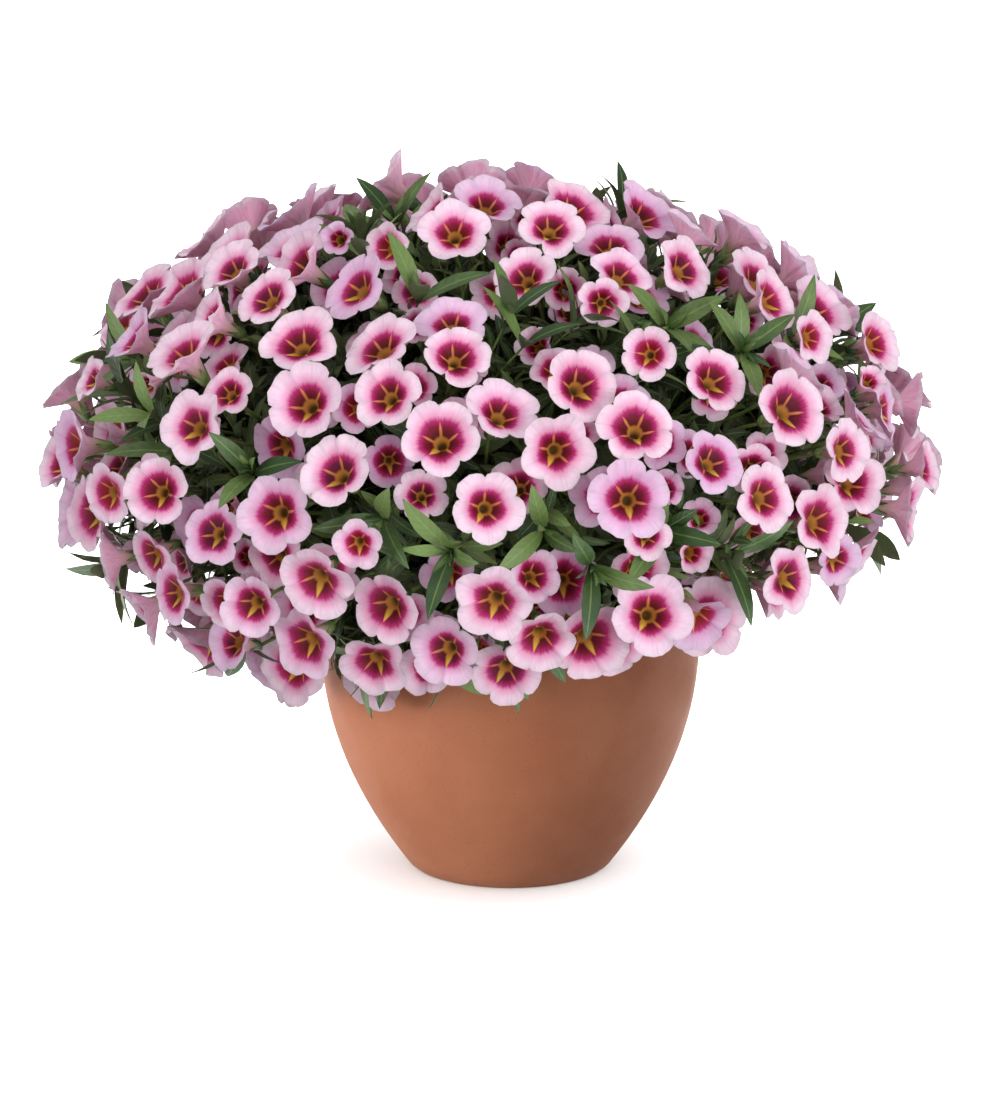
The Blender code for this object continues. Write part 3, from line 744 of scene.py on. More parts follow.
def tuft_pose(number, attempt, joint):
    """Where a tuft's leaves stand on their twig's end, and which way each one leans."""
    tilt, turn, share, random = growing_point(number, attempt)
    centre = mound_point(tilt, turn, share * TUFT_DEPTH)
    along = unit(unit(centre - joint) + mound_normal(tilt, turn))
    side = across(along, random.normal(size=3))
    other = np.cross(along, side)
    leans = np.radians(random.uniform(35, 65, TUFT_LEAVES))
    turns = even_angles(TUFT_LEAVES) + random.uniform(-0.25, 0.25, TUFT_LEAVES)
    outs = np.outer(np.cos(turns), side) + np.outer(np.sin(turns), other)
    directions = np.outer(np.cos(leans), along) + outs * np.sin(leans)[:, None]
    aboves = np.outer(np.sin(leans), along) - outs * np.cos(leans)[:, None]
    scales = random.uniform(0.85, 1.15, TUFT_LEAVES)
    return {
        "centre": centre, "along": along, "side": side, "joint": joint,
        "directions": directions, "aboves": aboves, "scales": scales,
        "mark": centre + directions[0] * LEAF_LENGTH * scales[0],
    }


def node_points(name):
    """All corner points of a shoot's solid."""
    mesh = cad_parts[name].data
    points = np.empty(len(mesh.vertices) * 3, np.float32)
    mesh.vertices.foreach_get("co", points)
    return points.reshape(-1, 3)


def shoot_name(number):
    return f"{'flowering' if number % 2 == 0 else 'leafy'}_shoot_{number // 2 + 1:02d}"


def grown(pose_of, first):
    """The poses of the blooms or tufts that the solids hold, each with its shoot. A growing point
    drew poses until one was clear of all the others, and its mark is a corner of the solid."""
    found = []
    corners = {number: node_points(shoot_name(number)) for number in range(first, SHOOTS, 2)}
    for number, (shoot, back) in share_out(first).items():
        joint = joint_on(ROUTES[shoot], back)
        for attempt in range(TRIES):
            pose = pose_of(number, attempt, joint)
            if np.linalg.norm(corners[shoot] - pose["mark"], axis=1).min() < MATCH:
                found.append({**pose, "shoot": shoot})
                break
    return found


def bloom_points(made):
    """Points on each bloom: the mouth's middle, rings of six and twelve round it, and five places
    down the tube and the stalk."""
    angles = np.append(even_angles(6), even_angles(12))
    radii = np.repeat([EYE_RADIUS, 1.0], [6, 12]) * LOBE_RADIUS
    circle = spokes(made["side"], np.cross(made["facing"], made["side"]), angles)
    scale = np.asarray(made["size"] * made["open"])[..., None, None]
    middle, facing = made["centre"][..., None, :], made["facing"][..., None, :]
    end = middle - facing * TUBE_LENGTH * np.asarray(made["size"])[..., None, None]
    down = end + (made["joint"][..., None, :] - end) * np.array([0.0, 0.2, 0.5, 0.75])[:, None]
    rings = middle + circle * radii[:, None] * scale
    return np.concatenate([middle, rings, (middle + end) / 2, down], axis=-2)


def over_mouths(points, made):
    """For points[k] and blooms[b]: the height over the mouth's plane, and the distance from its
    axis in mouth radii."""
    centre, facing = made["centre"].reshape(-1, 3), made["facing"].reshape(-1, 3)
    radius = LOBE_RADIUS * np.atleast_1d(made["size"] * made["open"])
    height = points @ facing.T - (centre * facing).sum(1)
    apart = (points**2).sum(1)[:, None] + (centre**2).sum(1) - 2 * points @ centre.T
    return height, np.sqrt(np.maximum(apart - height**2, 0)) / radius


def meets(points, made, front):
    """Whether each point lies in each bloom's funnel or up to this far in front of its mouth:
    r < 1.04 radii and 8 r - 11 mm < h < front."""
    height, out = over_mouths(points, made)
    return (out < 1.04) & (height > (8 * out - 11) * MM) & (height < front)


def crosses_eye(points, made, front):
    """Whether any point hangs in front of a bloom's eye, up to this far from it."""
    height, out = over_mouths(points, made)
    return ((out < EYE_RADIUS) & (height > 0) & (height < front)).any()


def small_bloom(tilt, turn, random):
    """A bloom that may grow at this place: it faces out and up, turned further aside than a large
    one and towards the light at the front, and a few of them are half open."""
    normal = mound_normal(tilt, turn)
    away = np.array([math.cos(turn), math.sin(turn), 0.0])
    rise = 0.16 + 0.55 * normal[2]
    to_light = np.array([0.0, -0.8 * (0.5 + 0.5 * math.sin(-turn)), 0.0])
    outward = away * math.sqrt(1 - rise * rise) + UP * rise
    facing = unit(outward + to_light + random.normal(size=3) * 0.40)
    side = across(facing, random.normal(size=3))
    share, size = random.uniform(0.82, 1.0), random.uniform(0.66, 0.98)
    opened = random.uniform(0.6, 0.85) if random.uniform() < HALF_OPEN_SHARE else 1.0
    centre = mound_point(tilt, turn, share)
    return {"centre": centre, "facing": facing, "side": side, "size": size, "open": opened}


def free_joint(one, made, random):
    """A place on one of the closest flowering shoots in the bloom's back, from where a stalk
    reaches it without crossing another bloom, as the shoot and the place; or None."""
    end = one["centre"] - one["facing"] * TUBE_LENGTH * one["size"]
    shoots = sorted(range(0, SHOOTS, 2), key=lambda shoot: np.linalg.norm(ROUTES[shoot][-1] - end))
    for shoot in shoots[:6]:
        for back in random.uniform(2, 40, 3) * MM:
            joint = joint_on(ROUTES[shoot], back)
            stalk = end + (joint - end) * np.linspace(0, 0.85, 7)[:, None]
            if np.dot(unit(end - joint), one["facing"]) < 0 or meets(stalk, made, 2 * MM).any():
                continue
            if not crosses_eye(stalk, made, STALK_GAP):
                return shoot, joint
    return None


def with_small_blooms(made, count):
    """Small blooms are tried at places spread over the mound. One stays where its mouth and stalk
    and the others' don't meet, and where it doesn't hide the eye of a large one close behind."""
    random = draw(DRAW_SMALL)
    tilts, turns = even_spread(SMALL_TRIES)
    blades = leaf_points(tuft_leaves(), (0.25, 0.5, 0.75, 1.0)).reshape(-1, 3)
    first, last = (np.array([pose[key] for pose in tufts()]) for key in ("joint", "centre"))
    twigs = first + (last - first) * np.linspace(0.1, 1, 10)[:, None, None]
    blades = np.vstack([blades, twigs.reshape(-1, 3)])
    held = bloom_points(made).reshape(-1, 3)
    most = len(made["size"]) + count
    for number in random.permutation(SMALL_TRIES):
        one = small_bloom(tilts[number], turns[number] + 0.7, random)
        own = bloom_points({**one, "joint": one["centre"] - one["facing"] * TUBE_LENGTH})
        if one["centre"][2] < POT_HEIGHT - 10 * MM or len(made["size"]) == most:
            continue
        if crosses_eye(own[:1], made, EYE_GAP) or crosses_eye(held, one, 10 * MM):
            continue
        if meets(own, made, 1 * MM).any() or meets(held, one, 1 * MM).any():
            continue
        found = free_joint(one, made, random)
        if found is None or meets(blades, one, 1 * MM).any():
            continue
        one["shoot"], one["joint"] = found
        made = {key: np.concatenate([made[key], np.asarray(one[key])[None]]) for key in made}
        held = np.vstack([held, bloom_points(one)])
    return made


@functools.cache
def blooms(small):
    """All blooms as arrays, each turned by whole lobes until its broad ray points down."""
    poses = grown(bloom_pose, 0)
    keys = ("centre", "facing", "side", "size", "joint", "shoot")
    made = {key: np.array([pose[key] for pose in poses]) for key in keys}
    made = with_small_blooms({**made, "open": np.ones(len(poses))}, small)
    sides = spokes(made["side"], np.cross(made["facing"], made["side"]), even_angles(LOBES))
    best = np.argmax(sides[..., 2], axis=1)
    made["side"] = sides[np.arange(len(best)), best]
    made["end"] = made["centre"] - made["facing"] * TUBE_LENGTH * made["size"][:, None]
    return made


@functools.cache
def tufts():
    return grown(tuft_pose, 1)


# Blooms

LOBE_STOPS = np.array([-1.0, -0.88, -0.66, -0.34, 0.0, 0.34, 0.66, 0.88])  # from seam to seam
MARGIN_RING = 2  # the mouth's margin, counted from the tube's end


def lobe_columns():
    """Round a bloom: each column's lobe, its place p across the lobe from -1 to 1, its angle, and
    the outlines of a round lobe, 0.76 + 0.21 sqrt(1 - |p|^3), and of a pointed one,
    0.76 + 0.24 (1 - |p|^1.3), in shares of the radius."""
    lobes = np.repeat(np.arange(LOBES), len(LOBE_STOPS))
    across_lobe = np.tile(LOBE_STOPS, LOBES)
    angles = (lobes + across_lobe / 2) * 2 * math.pi / LOBES
    away = np.abs(across_lobe)
    rounded = 0.76 + 0.21 * np.sqrt(1 - away**3)
    return lobes, across_lobe, angles, rounded, 0.76 + 0.24 * (1 - away**1.3)


def round_axis(bloom, angles, radii, heights):
    """Rings round each bloom's axis, from r[ring, column] and h[ring, column]:
    centre + size * (r (cos a * side + sin a * other) + h * facing)."""
    other = np.cross(bloom["facing"], bloom["side"])
    circle = spokes(bloom["side"][:, None], other[:, None], angles)
    local = radii[..., None] * circle + heights[..., None] * bloom["facing"][:, None, None]
    return bloom["centre"][:, None, None] + bloom["size"][:, None, None, None] * local


def margin_shape(bloom, ruffle, curl, random):
    """The margin's reach and height round each bloom. The reach is between the lobe's round and
    pointed outlines, with a notch at its tip. The height is a backward curl of the lobe's tip, a
    cup of the whole bloom, a tilt of each lobe, and waves cos(k a + phase). A half-open bloom is
    narrower and its margin stands further forward."""
    count = len(bloom["size"])
    lobes, across_lobe, angles, rounded, pointed = lobe_columns()
    dome, away = 1 - across_lobe**2, np.abs(across_lobe)
    sharp = random.uniform(0.0, 1.0, (count, 1))
    sharp = sharp + random.normal(size=(count, LOBES))[:, lobes] * 0.12
    outline = rounded + (pointed - rounded) * sharp.clip(0, 1)
    lift = random.normal(size=(count, LOBES)) * 0.9
    twist = random.normal(size=(count, LOBES)) * 1.1
    spread = 1 + random.normal(size=(count, LOBES)) * 0.035
    notch = np.maximum(1 - away / 0.34, 0) * random.uniform(-0.005, 0.05, (count, LOBES))[:, lobes]
    outline = outline - notch + random.normal(size=outline.shape) * 0.006
    open_out = random.uniform(-0.6, 2.8, (count, 1)) * MM
    phases = random.uniform(0, 2 * math.pi, (count, 2, 1))
    waves = np.cos(2 * angles + phases[:, 0]) + 0.35 * np.cos(11 * angles + phases[:, 1])
    waves = waves + (lift[:, lobes] + twist[:, lobes] * across_lobe) * dome
    opened = bloom["open"][:, None]
    height = waves * ruffle - dome * curl + open_out + (1 - opened) * 9 * MM
    reach = outline * (1 + (spread[:, lobes] - 1) * dome) * LOBE_RADIUS * 0.95 * opened
    return reach, height


def bloom_rings(bloom, ruffle, curl, random):
    """Funnels from the tube's end, up the outside, over the margin and down into the throat. Two
    rings on the face follow the margin at shares of its reach and height, with a groove
    p^4 + (1 - p)^4 / 2 along the seams and the middles of the lobes."""
    _, across_lobe, angles, _, _ = lobe_columns()
    away = np.abs(across_lobe)
    reach, margin = margin_shape(bloom, ruffle, curl, random)
    groove = away**4 + 0.5 * (1 - away) ** 4
    steady = np.ones_like(reach)
    back = bloom["open"][:, None] ** 0.5
    rows = [
        (TUBE_RADIUS * steady, -TUBE_LENGTH * steady),
        (4.0 * MM * steady * back, -7.0 * MM * steady),
        (reach, margin),
        (reach * 0.77, margin * 0.55 - (0.90 + 0.50 * groove) * MM),
        (reach * 0.47, margin * 0.20 - (2.70 + 0.35 * groove) * MM),
        (2.6 * MM * steady, -5.9 * MM * steady),
        (1.3 * MM * steady, -10.5 * MM * steady),
    ]
    radii, heights = (np.stack(column, 1) for column in zip(*rows))
    return round_axis(bloom, angles, radii, heights)


def bloom_map():
    """The flattened flower: the map's radius is the reach in lobe radii, 1 to 2.6 on the back."""
    _, _, angles, rounded, pointed = lobe_columns()
    outline = (rounded + pointed) / 2
    flat = np.ones_like(outline)
    reaches = np.stack([
        2.6 * flat, 1.9 * flat, outline, 0.77 * outline, 0.47 * outline, 0.165 * flat, 0.08 * flat
    ])
    angles, reaches = np.append(angles, angles[0]), np.column_stack([reaches, reaches[:, 0]])
    return np.stack([reaches * np.cos(angles), reaches * np.sin(angles)], -1)


def calyx_rings(bloom):
    """Five narrow sepals that hold the tube: rings of ten points, every second a sepal's tip."""
    tips = np.tile([1.0, 0.0], LOBES)
    radii = np.stack([0.8 + 0 * tips, 2.0 + 0.2 * tips, 2.5 + 1.2 * tips, 1.6 + 0 * tips])
    heights = np.stack([-19.0 + 0 * tips, -17.4 + 0 * tips, -15.0 + 5.5 * tips, -15.6 + 0 * tips])
    return round_axis(bloom, even_angles(2 * LOBES), radii * MM, heights * MM)


def plain_map(rings, columns):
    """A map for shapes whose finish shows no pattern along them."""
    return np.full((rings, columns + 1, 2), (0.6, 0.5))


TWIG_MAP = plain_map(TWIG_STEPS, TWIG_SIDES)
TWIG_HINT, STEM_HINT = (0.3, 0.5, 0.8), (0.2, 0.9, 0.1)  # where a tube's circles start


# Leaves

# How broad a blade is at each share of its length, with fewer steps for the many small leaves
LARGE_BLADE = np.array([
    (0.0, 0.14), (0.10, 0.40), (0.25, 0.78), (0.42, 0.98), (0.58, 0.98), (0.74, 0.77),
    (0.88, 0.42), (0.96, 0.17), (1.0, 0.02),
])
SMALL_BLADE = np.array([(0.0, 0.16), (0.25, 0.76), (0.55, 1.0), (0.84, 0.58), (1.0, 0.03)])


def leaf_rings(leaves, blade):
    """Blades with four points a ring: right edge, rib on top, left edge, rib underneath. The
    middle line is base + s * length * direction + (arch * (1 - (2s - 1)^2) - droop * s^2) * above,
    and the edges stand half the width to the side and a fold higher than the rib."""
    s = blade[None, :, :1]
    direction, above = leaves["direction"][:, None], leaves["above"][:, None]
    side = np.cross(above, direction)
    length, width = leaves["length"][:, None, None], leaves["width"][:, None, None]
    arch, droop = leaves["arch"][:, None, None], leaves["droop"][:, None, None]
    lift = arch * (1 - (2 * s - 1) ** 2) - droop * s * s
    middle = leaves["base"][:, None] + direction * length * s + above * lift
    half = blade[None, :, 1:] * width / 2
    fold = above * half * BLADE_FOLD
    rib = above * (0.22 * MM + 0.12 * MM * (1 - s))
    right, left = middle + side * half + fold, middle - side * half + fold
    return np.stack([right, middle + rib, left, middle - rib], axis=2)


def leaf_map(blade):
    """u is the distance from the rib, over the edge to 2 on the rib below, v runs to the tip."""
    u = np.broadcast_to([1.0, 0.0, 1.0, 2.0, 1.0], (len(blade), 5))
    return np.stack([u, np.repeat(blade[:, :1], 5, axis=1)], -1)


def leaf_points(leaves, stops):
    """Points along the middle lines of leaves, for keeping things clear of each other."""
    reach = (leaves["direction"] * leaves["length"][:, None])[:, None]
    return leaves["base"][:, None] + reach * np.array(stops)[:, None]


# Whorls of a tuft: lean from the twig, size as a share of a large leaf, how far back, first turn
WHORLS = [
    (0.95, 0.74, 2.0 * MM, math.pi / 3),
    (0.45, 0.45, -0.5 * MM, 0.0),
    (1.30, 0.62, 6.0 * MM, 0.4),
    (1.15, 0.55, 10.0 * MM, 1.5),
]


def clear_of_blooms(leaves, small):
    """Those leaves of which no point stands in a bloom's mouth, or close in front of it."""
    tests = leaf_points(leaves, (0.1, 0.4, 0.7, 1.0))
    met = meets(tests.reshape(-1, 3), blooms(small), LEAF_GAP).any(1)
    kept = ~met.reshape(tests.shape[:2]).any(1)
    return {key: value[kept] for key, value in leaves.items()}


def tuft_leaves():
    """The leaves that the solids hold, three on each tuft."""
    made = tufts()
    shoot, base = (
        np.repeat([pose[key] for pose in made], TUFT_LEAVES, axis=0) for key in ("shoot", "centre")
    )
    direction, above, scale = (
        np.concatenate([pose[key] for pose in made]) for key in ("directions", "aboves", "scales")
    )
    count = len(shoot)
    return {
        "shoot": shoot, "base": base, "direction": direction, "above": above,
        "length": LEAF_LENGTH * scale * 0.96, "width": LEAF_WIDTH * scale * 0.68,
        # deep is painted shade on a leaf's green; every large leaf gets 0.15 of it.
        "arch": np.full(count, LEAF_ARCH), "droop": np.zeros(count), "deep": np.full(count, 0.15),
    }


def rosette_leaves(small):
    """Smaller leaves between the large ones of each tuft, three to a whorl. Each leans out by the
    whorl's angle from the twig. One that would stand in a bloom's mouth is left out."""
    random = draw(DRAW_ROSETTES)
    made = tufts()
    along, side, centre, shoot = (
        np.array([pose[key] for pose in made])[:, None, None]
        for key in ("along", "side", "centre", "shoot")
    )
    shape = (len(made), len(WHORLS), 3)
    lean, size, back, start = np.array(WHORLS).T[:, None, :, None]
    turn = start + even_angles(3) + random.normal(size=shape) * 0.2
    lean = (lean + random.normal(size=shape) * 0.12)[..., None]
    out = side * np.cos(turn)[..., None] + np.cross(along, side) * np.sin(turn)[..., None]
    scale = size * random.uniform(0.8, 1.15, shape)
    flat = {
        "shoot": np.broadcast_to(shoot, shape),
        "base": np.broadcast_to(centre - along * back[..., None], (*shape, 3)),
        "direction": along * np.cos(lean) + out * np.sin(lean),
        "above": along * np.sin(lean) - out * np.cos(lean),
        "length": LEAF_LENGTH * scale,
        "width": LEAF_LENGTH * scale * random.uniform(0.2, 0.3, shape),
        "arch": scale * LEAF_ARCH, "droop": scale * random.uniform(-1.0, 5.0, shape) * MM,
        # deep is painted shade on a leaf's green, from none on the first whorl to 0.4 on the last.
        "deep": np.broadcast_to(np.linspace(0, 0.4, len(WHORLS))[:, None], shape),
    }
    leaves = {key: value.reshape(-1, *value.shape[3:]) for key, value in flat.items()}
    return clear_of_blooms(leaves, small)


@functools.cache
def sprigs(count, small):
    """Leafy side twigs, evenly spread under the blooms, and one that carries each tuft. Each is a
    quadratic curve from a joint near the end of the closest leafy shoot to a tip that points out.
    Twigs deep in the shade have broader leaves. One that would cross a bloom is left out."""
    random = draw(DRAW_SPRIGS)
    tilts, turns = even_spread(count)
    tilts = tilts + random.normal(size=count) * 0.05
    turns = turns + 1.9 + random.normal(size=count) * 0.06
    depth = random.uniform(size=count) ** 1.2
    tips = mound_point(tilts, turns, 0.95 - 0.50 * depth)
    hubs = np.array([ROUTES[shoot][-1] for shoot in range(1, SHOOTS, 2)])
    near = np.linalg.norm(tips[:, None] - hubs, axis=2).argmin(1) * 2 + 1
    backs = random.uniform(1, 30, count) * MM
    joints = np.array([joint_on(ROUTES[shoot], back) for shoot, back in zip(near, backs)])
    heading = mound_normal(tilts, turns) + 0.35 * UP + random.normal(size=(count, 3)) * 0.35
    made = tufts()
    near = np.append(near, [pose["shoot"] for pose in made])
    tips = np.vstack([tips, [pose["centre"] for pose in made]])
    joints = np.vstack([joints, [pose["joint"] for pose in made]])
    heading = unit(np.vstack([heading, [pose["along"] for pose in made]]))
    bend = tips - heading * np.linalg.norm(tips - joints, axis=1, keepdims=True) * 0.45
    bend[count:] = (tips[count:] + joints[count:]) / 2
    broad = np.append(1 + 1.1 * depth, np.ones(len(made)))
    # deep is how far in each sprig lies, which sets the painted shade on its leaves; the tufts'
    # twigs get none.
    deep = np.append(depth, np.zeros(len(made)))
    twigs = {
        "shoot": near, "joint": joints, "bend": bend, "tip": tips, "broad": broad, "deep": deep,
    }
    places = bezier(joints, bend, tips, np.linspace(0.1, 1, 9))
    met = meets(places.reshape(-1, 3), blooms(small), 3 * MM).any(1).reshape(-1, 9).any(1)
    met[count:] = False
    return {key: value[~met] for key, value in twigs.items()}


@functools.cache
def sprig_leaves(count, each, size, width, small):
    """Leaves in a spiral along the outer part of every sprig, smaller and steeper towards its tip.
    One that would stand in a bloom's mouth, or just in front of it, is left out."""
    made = sprigs(count, small)
    random = draw(DRAW_SPRIG_LEAVES)
    shape = (len(made["tip"]), each)
    reach = np.linalg.norm(made["tip"] - made["joint"], axis=1)[:, None]
    steps = 1 - (np.arange(each)[::-1] / each) * np.minimum(SPRIG_LENGTH / reach, 0.9)
    t = steps[..., None]
    ends = [made[key][:, None] for key in ("joint", "bend", "tip")]
    base = (1 - t) ** 2 * ends[0] + 2 * t * (1 - t) * ends[1] + t * t * ends[2]
    along = unit(2 * (1 - t) * (ends[1] - ends[0]) + 2 * t * (ends[2] - ends[1]))
    spiral = random.uniform(0, 2 * math.pi, (shape[0], 1)) + np.arange(each) * GOLDEN_TURN
    spiral = (spiral + random.normal(size=shape) * 0.25)[..., None]
    u = across(along, random.normal(size=(shape[0], 1, 3)))
    out = u * np.cos(spiral) + np.cross(along, u) * np.sin(spiral)
    rank = np.arange(each) / (each - 1)
    lean = np.radians(72 - 42 * rank + random.normal(size=shape) * 9)[..., None]
    direction = along * np.cos(lean) + out * np.sin(lean)
    above = along * np.sin(lean) - out * np.cos(lean)
    scale = (1 - 0.45 * rank**2) * random.uniform(0.72, 1.12, shape) * made["broad"][:, None]
    flat = {
        "base": base, "direction": direction, "above": above, "length": scale * size,
        "width": scale * size * width * random.uniform(0.85, 1.15, shape),
        "arch": scale * 1.6 * MM, "droop": scale * random.uniform(-0.5, 4.5, shape) * MM,
        "shoot": np.broadcast_to(made["shoot"][:, None], shape),
        # Painted shade on each leaf's green: 0.2, and more the deeper its sprig lies.
        "deep": np.broadcast_to(0.2 + 0.8 * made["deep"][:, None], shape),
    }
    leaves = {key: value.reshape(-1, *value.shape[2:]) for key, value in flat.items()}
    return clear_of_blooms(leaves, small)


# Pieces


def tints_of(count, random):
    return random.uniform(size=(count, 3))


def pot_radius(height):
    """Outer radius of the pot's side: a parabola with its widest point at the belly."""
    below = 1 - height / POT_BELLY_HEIGHT
    return POT_BELLY_RADIUS - (POT_BELLY_RADIUS - POT_FOOT_RADIUS) * below**2


def turned(profile, segments):
    """A profile of (radius, height) turned round the Z axis, as rings."""
    radii, heights = np.array(profile).T
    angles = even_angles(segments)
    rings = np.empty((len(radii), segments, 3))
    rings[..., 0] = radii[:, None] * np.cos(angles)
    rings[..., 1] = radii[:, None] * np.sin(angles)
    rings[..., 2] = heights[:, None]
    return rings


TARGET = Vector((-4.1 * MM, 0, 132.9 * MM))  # what the camera and the lamps point at
FLOOR_HALF = 8.0
SENSOR_HEIGHT = 24  # the camera's, in mm as Blender has it

# The lamps: what each one lights, the setting of its power, its side, and where it stands
LAMPS = [
    ("pot_light", "pot_power", 1.4, (-2.05, -1.45, 0.30)),
    ("plant_light", "left_power", 1.4, (-2.05, -1.45, 0.05)),
    ("plant_light", "right_power", 1.4, (1.85, -1.65, 0.15)),
    ("plant_light", "front_power", 0.8, (0.7, -2.1, 0.10)),
    ("top_light", "top_power", 1.8, (-0.3, -0.7, 2.0)),
    ("floor_light", "floor_power", 5.0, (0, 0, 1.3)),
]
LIGHTS_ALL = "top_light"


class CALIBRACHOA_OT_stage(bpy.types.Operator):
    """Camera that looks down a little, soft lamps from both sides and the front, and a floor"""

    bl_idname = "calibrachoa.stage"
    bl_label = "Stage"

    def execute(self, context):
        settings = context.scene.calibrachoa_stage
        self.camera(context, settings)
        for name, power_name, size, place in LAMPS:
            self.lamp(context, name, getattr(settings, power_name), size, place)
        context.scene.world = room_light(settings)
        context.scene.view_settings.view_transform = "Standard"
        self.floor(context)
        return {"FINISHED"}

    def camera(self, context, settings):
        tilt, far = settings.elevation, settings.distance
        camera = bpy.data.cameras.new("camera")
        camera.sensor_fit = "VERTICAL"
        camera.sensor_height = SENSOR_HEIGHT
        camera.lens = SENSOR_HEIGHT * far / settings.view_height
        holder = bpy.data.objects.new("camera", camera)
        holder.location = TARGET + Vector((0, -far * math.cos(tilt), far * math.sin(tilt)))
        holder.rotation_euler = (math.pi / 2 - tilt, 0, 0)
        context.scene.collection.objects.link(holder)
        context.scene.camera = holder

    def lamp(self, context, name, watts, size, place):
        """A square lamp that faces the plant and lights what its name says."""
        lamp = bpy.data.lights.new(name, "AREA")
        lamp.energy, lamp.size = watts, size
        holder = bpy.data.objects.new(name, lamp)
        holder.location = place
        holder.rotation_euler = (TARGET - Vector(place)).to_track_quat("-Z", "Y").to_euler()
        context.scene.collection.objects.link(holder)
        if name != LIGHTS_ALL:
            holder.light_linking.receiver_collection = lit_by(name)

    def floor(self, context):
        """A square of white paper, which throws no light back up at the plant."""
        mesh = bpy.data.meshes.new("floor")
        signs = ((-1, -1), (1, -1), (1, 1), (-1, 1))
        corners = [(x * FLOOR_HALF, y * FLOOR_HALF, 0) for x, y in signs]
        mesh.from_pydata(corners, [], [(0, 1, 2, 3)])
        mesh.materials.append(paper_finish())
        ground = bpy.data.objects.new("floor", mesh)
        ground.visible_diffuse = False
        context.scene.collection.objects.link(ground)
        lit_by("floor_light").objects.link(ground)


class CALIBRACHOA_OT_pot(bpy.types.Operator):
    """Turned clay pot with a rounded lip and three drain holes"""

    bl_idname = "calibrachoa.pot"
    bl_label = "Pot"

    def execute(self, context):
        settings = context.scene.calibrachoa_pot
        top = POT_HEIGHT - 2 * POT_EDGE
        lip = np.linspace(0, math.pi, 9)[1:-1]
        half = POT_WALL / 2
        middle = pot_radius(POT_HEIGHT) - half
        heights = np.linspace(POT_EDGE, top, 22)
        low = POT_FLOOR + 3 * POT_EDGE
        inner = np.linspace(top, low, 12)
        profile = [
            (POT_FOOT_RADIUS - 5 * POT_EDGE, 0), (POT_FOOT_RADIUS - POT_EDGE, 0),
            (POT_FOOT_RADIUS - 0.4 * POT_EDGE, 0.15 * POT_EDGE),
            (POT_FOOT_RADIUS, 0.55 * POT_EDGE),
            *((pot_radius(z), z) for z in heights),
            *((middle + half * math.cos(a), top + 2 * POT_EDGE * math.sin(a)) for a in lip),
            *((pot_radius(z) - POT_WALL, z) for z in inner),
            (pot_radius(low) - POT_WALL - 1.2 * POT_EDGE, POT_FLOOR + POT_EDGE),
            (pot_radius(low) - POT_WALL - 3 * POT_EDGE, POT_FLOOR),
        ]
        rings = turned(profile, settings.segments)[None]
        uv = plain_map(len(profile), settings.segments)
        group = ring_group(rings, uv, np.zeros((1, 3)), clay_finish(settings))
        pot = build_piece("terracotta_pot", [group], "plain", "terracotta", "pot")
        self.drill(context, pot)
        return {"FINISHED"}

    def drill(self, context, pot):
        """Cuts the drain holes with three plain posts."""
        sides = 24
        turns = 2 * math.pi * (np.arange(DRAINS) + 0.25) / DRAINS
        posts = turned([(DRAIN_RADIUS, -POT_FLOOR), (DRAIN_RADIUS, 2 * POT_FLOOR)], sides)[None]
        shift = DRAIN_CIRCLE * np.stack([np.cos(turns), np.sin(turns), 0 * turns], -1)
        posts = posts + shift[:, None, None]
        quads, ends = joined_faces(DRAINS, 2, sides)
        mesh = bpy.data.meshes.new("drain_cutter")
        mesh.from_pydata(posts.reshape(-1, 3).tolist(), [], quads.tolist() + ends.tolist())
        cutter = bpy.data.objects.new("drain_cutter", mesh)
        context.scene.collection.objects.link(cutter)
        cut = pot.modifiers.new("Drains", "BOOLEAN")
        cut.operation, cut.object, cut.solver = "DIFFERENCE", cutter, "EXACT"
        graph = context.evaluated_depsgraph_get()
        drilled = bpy.data.meshes.new_from_object(pot.evaluated_get(graph))
        pot.modifiers.clear()
        pot.data = drilled
        bpy.data.objects.remove(cutter)


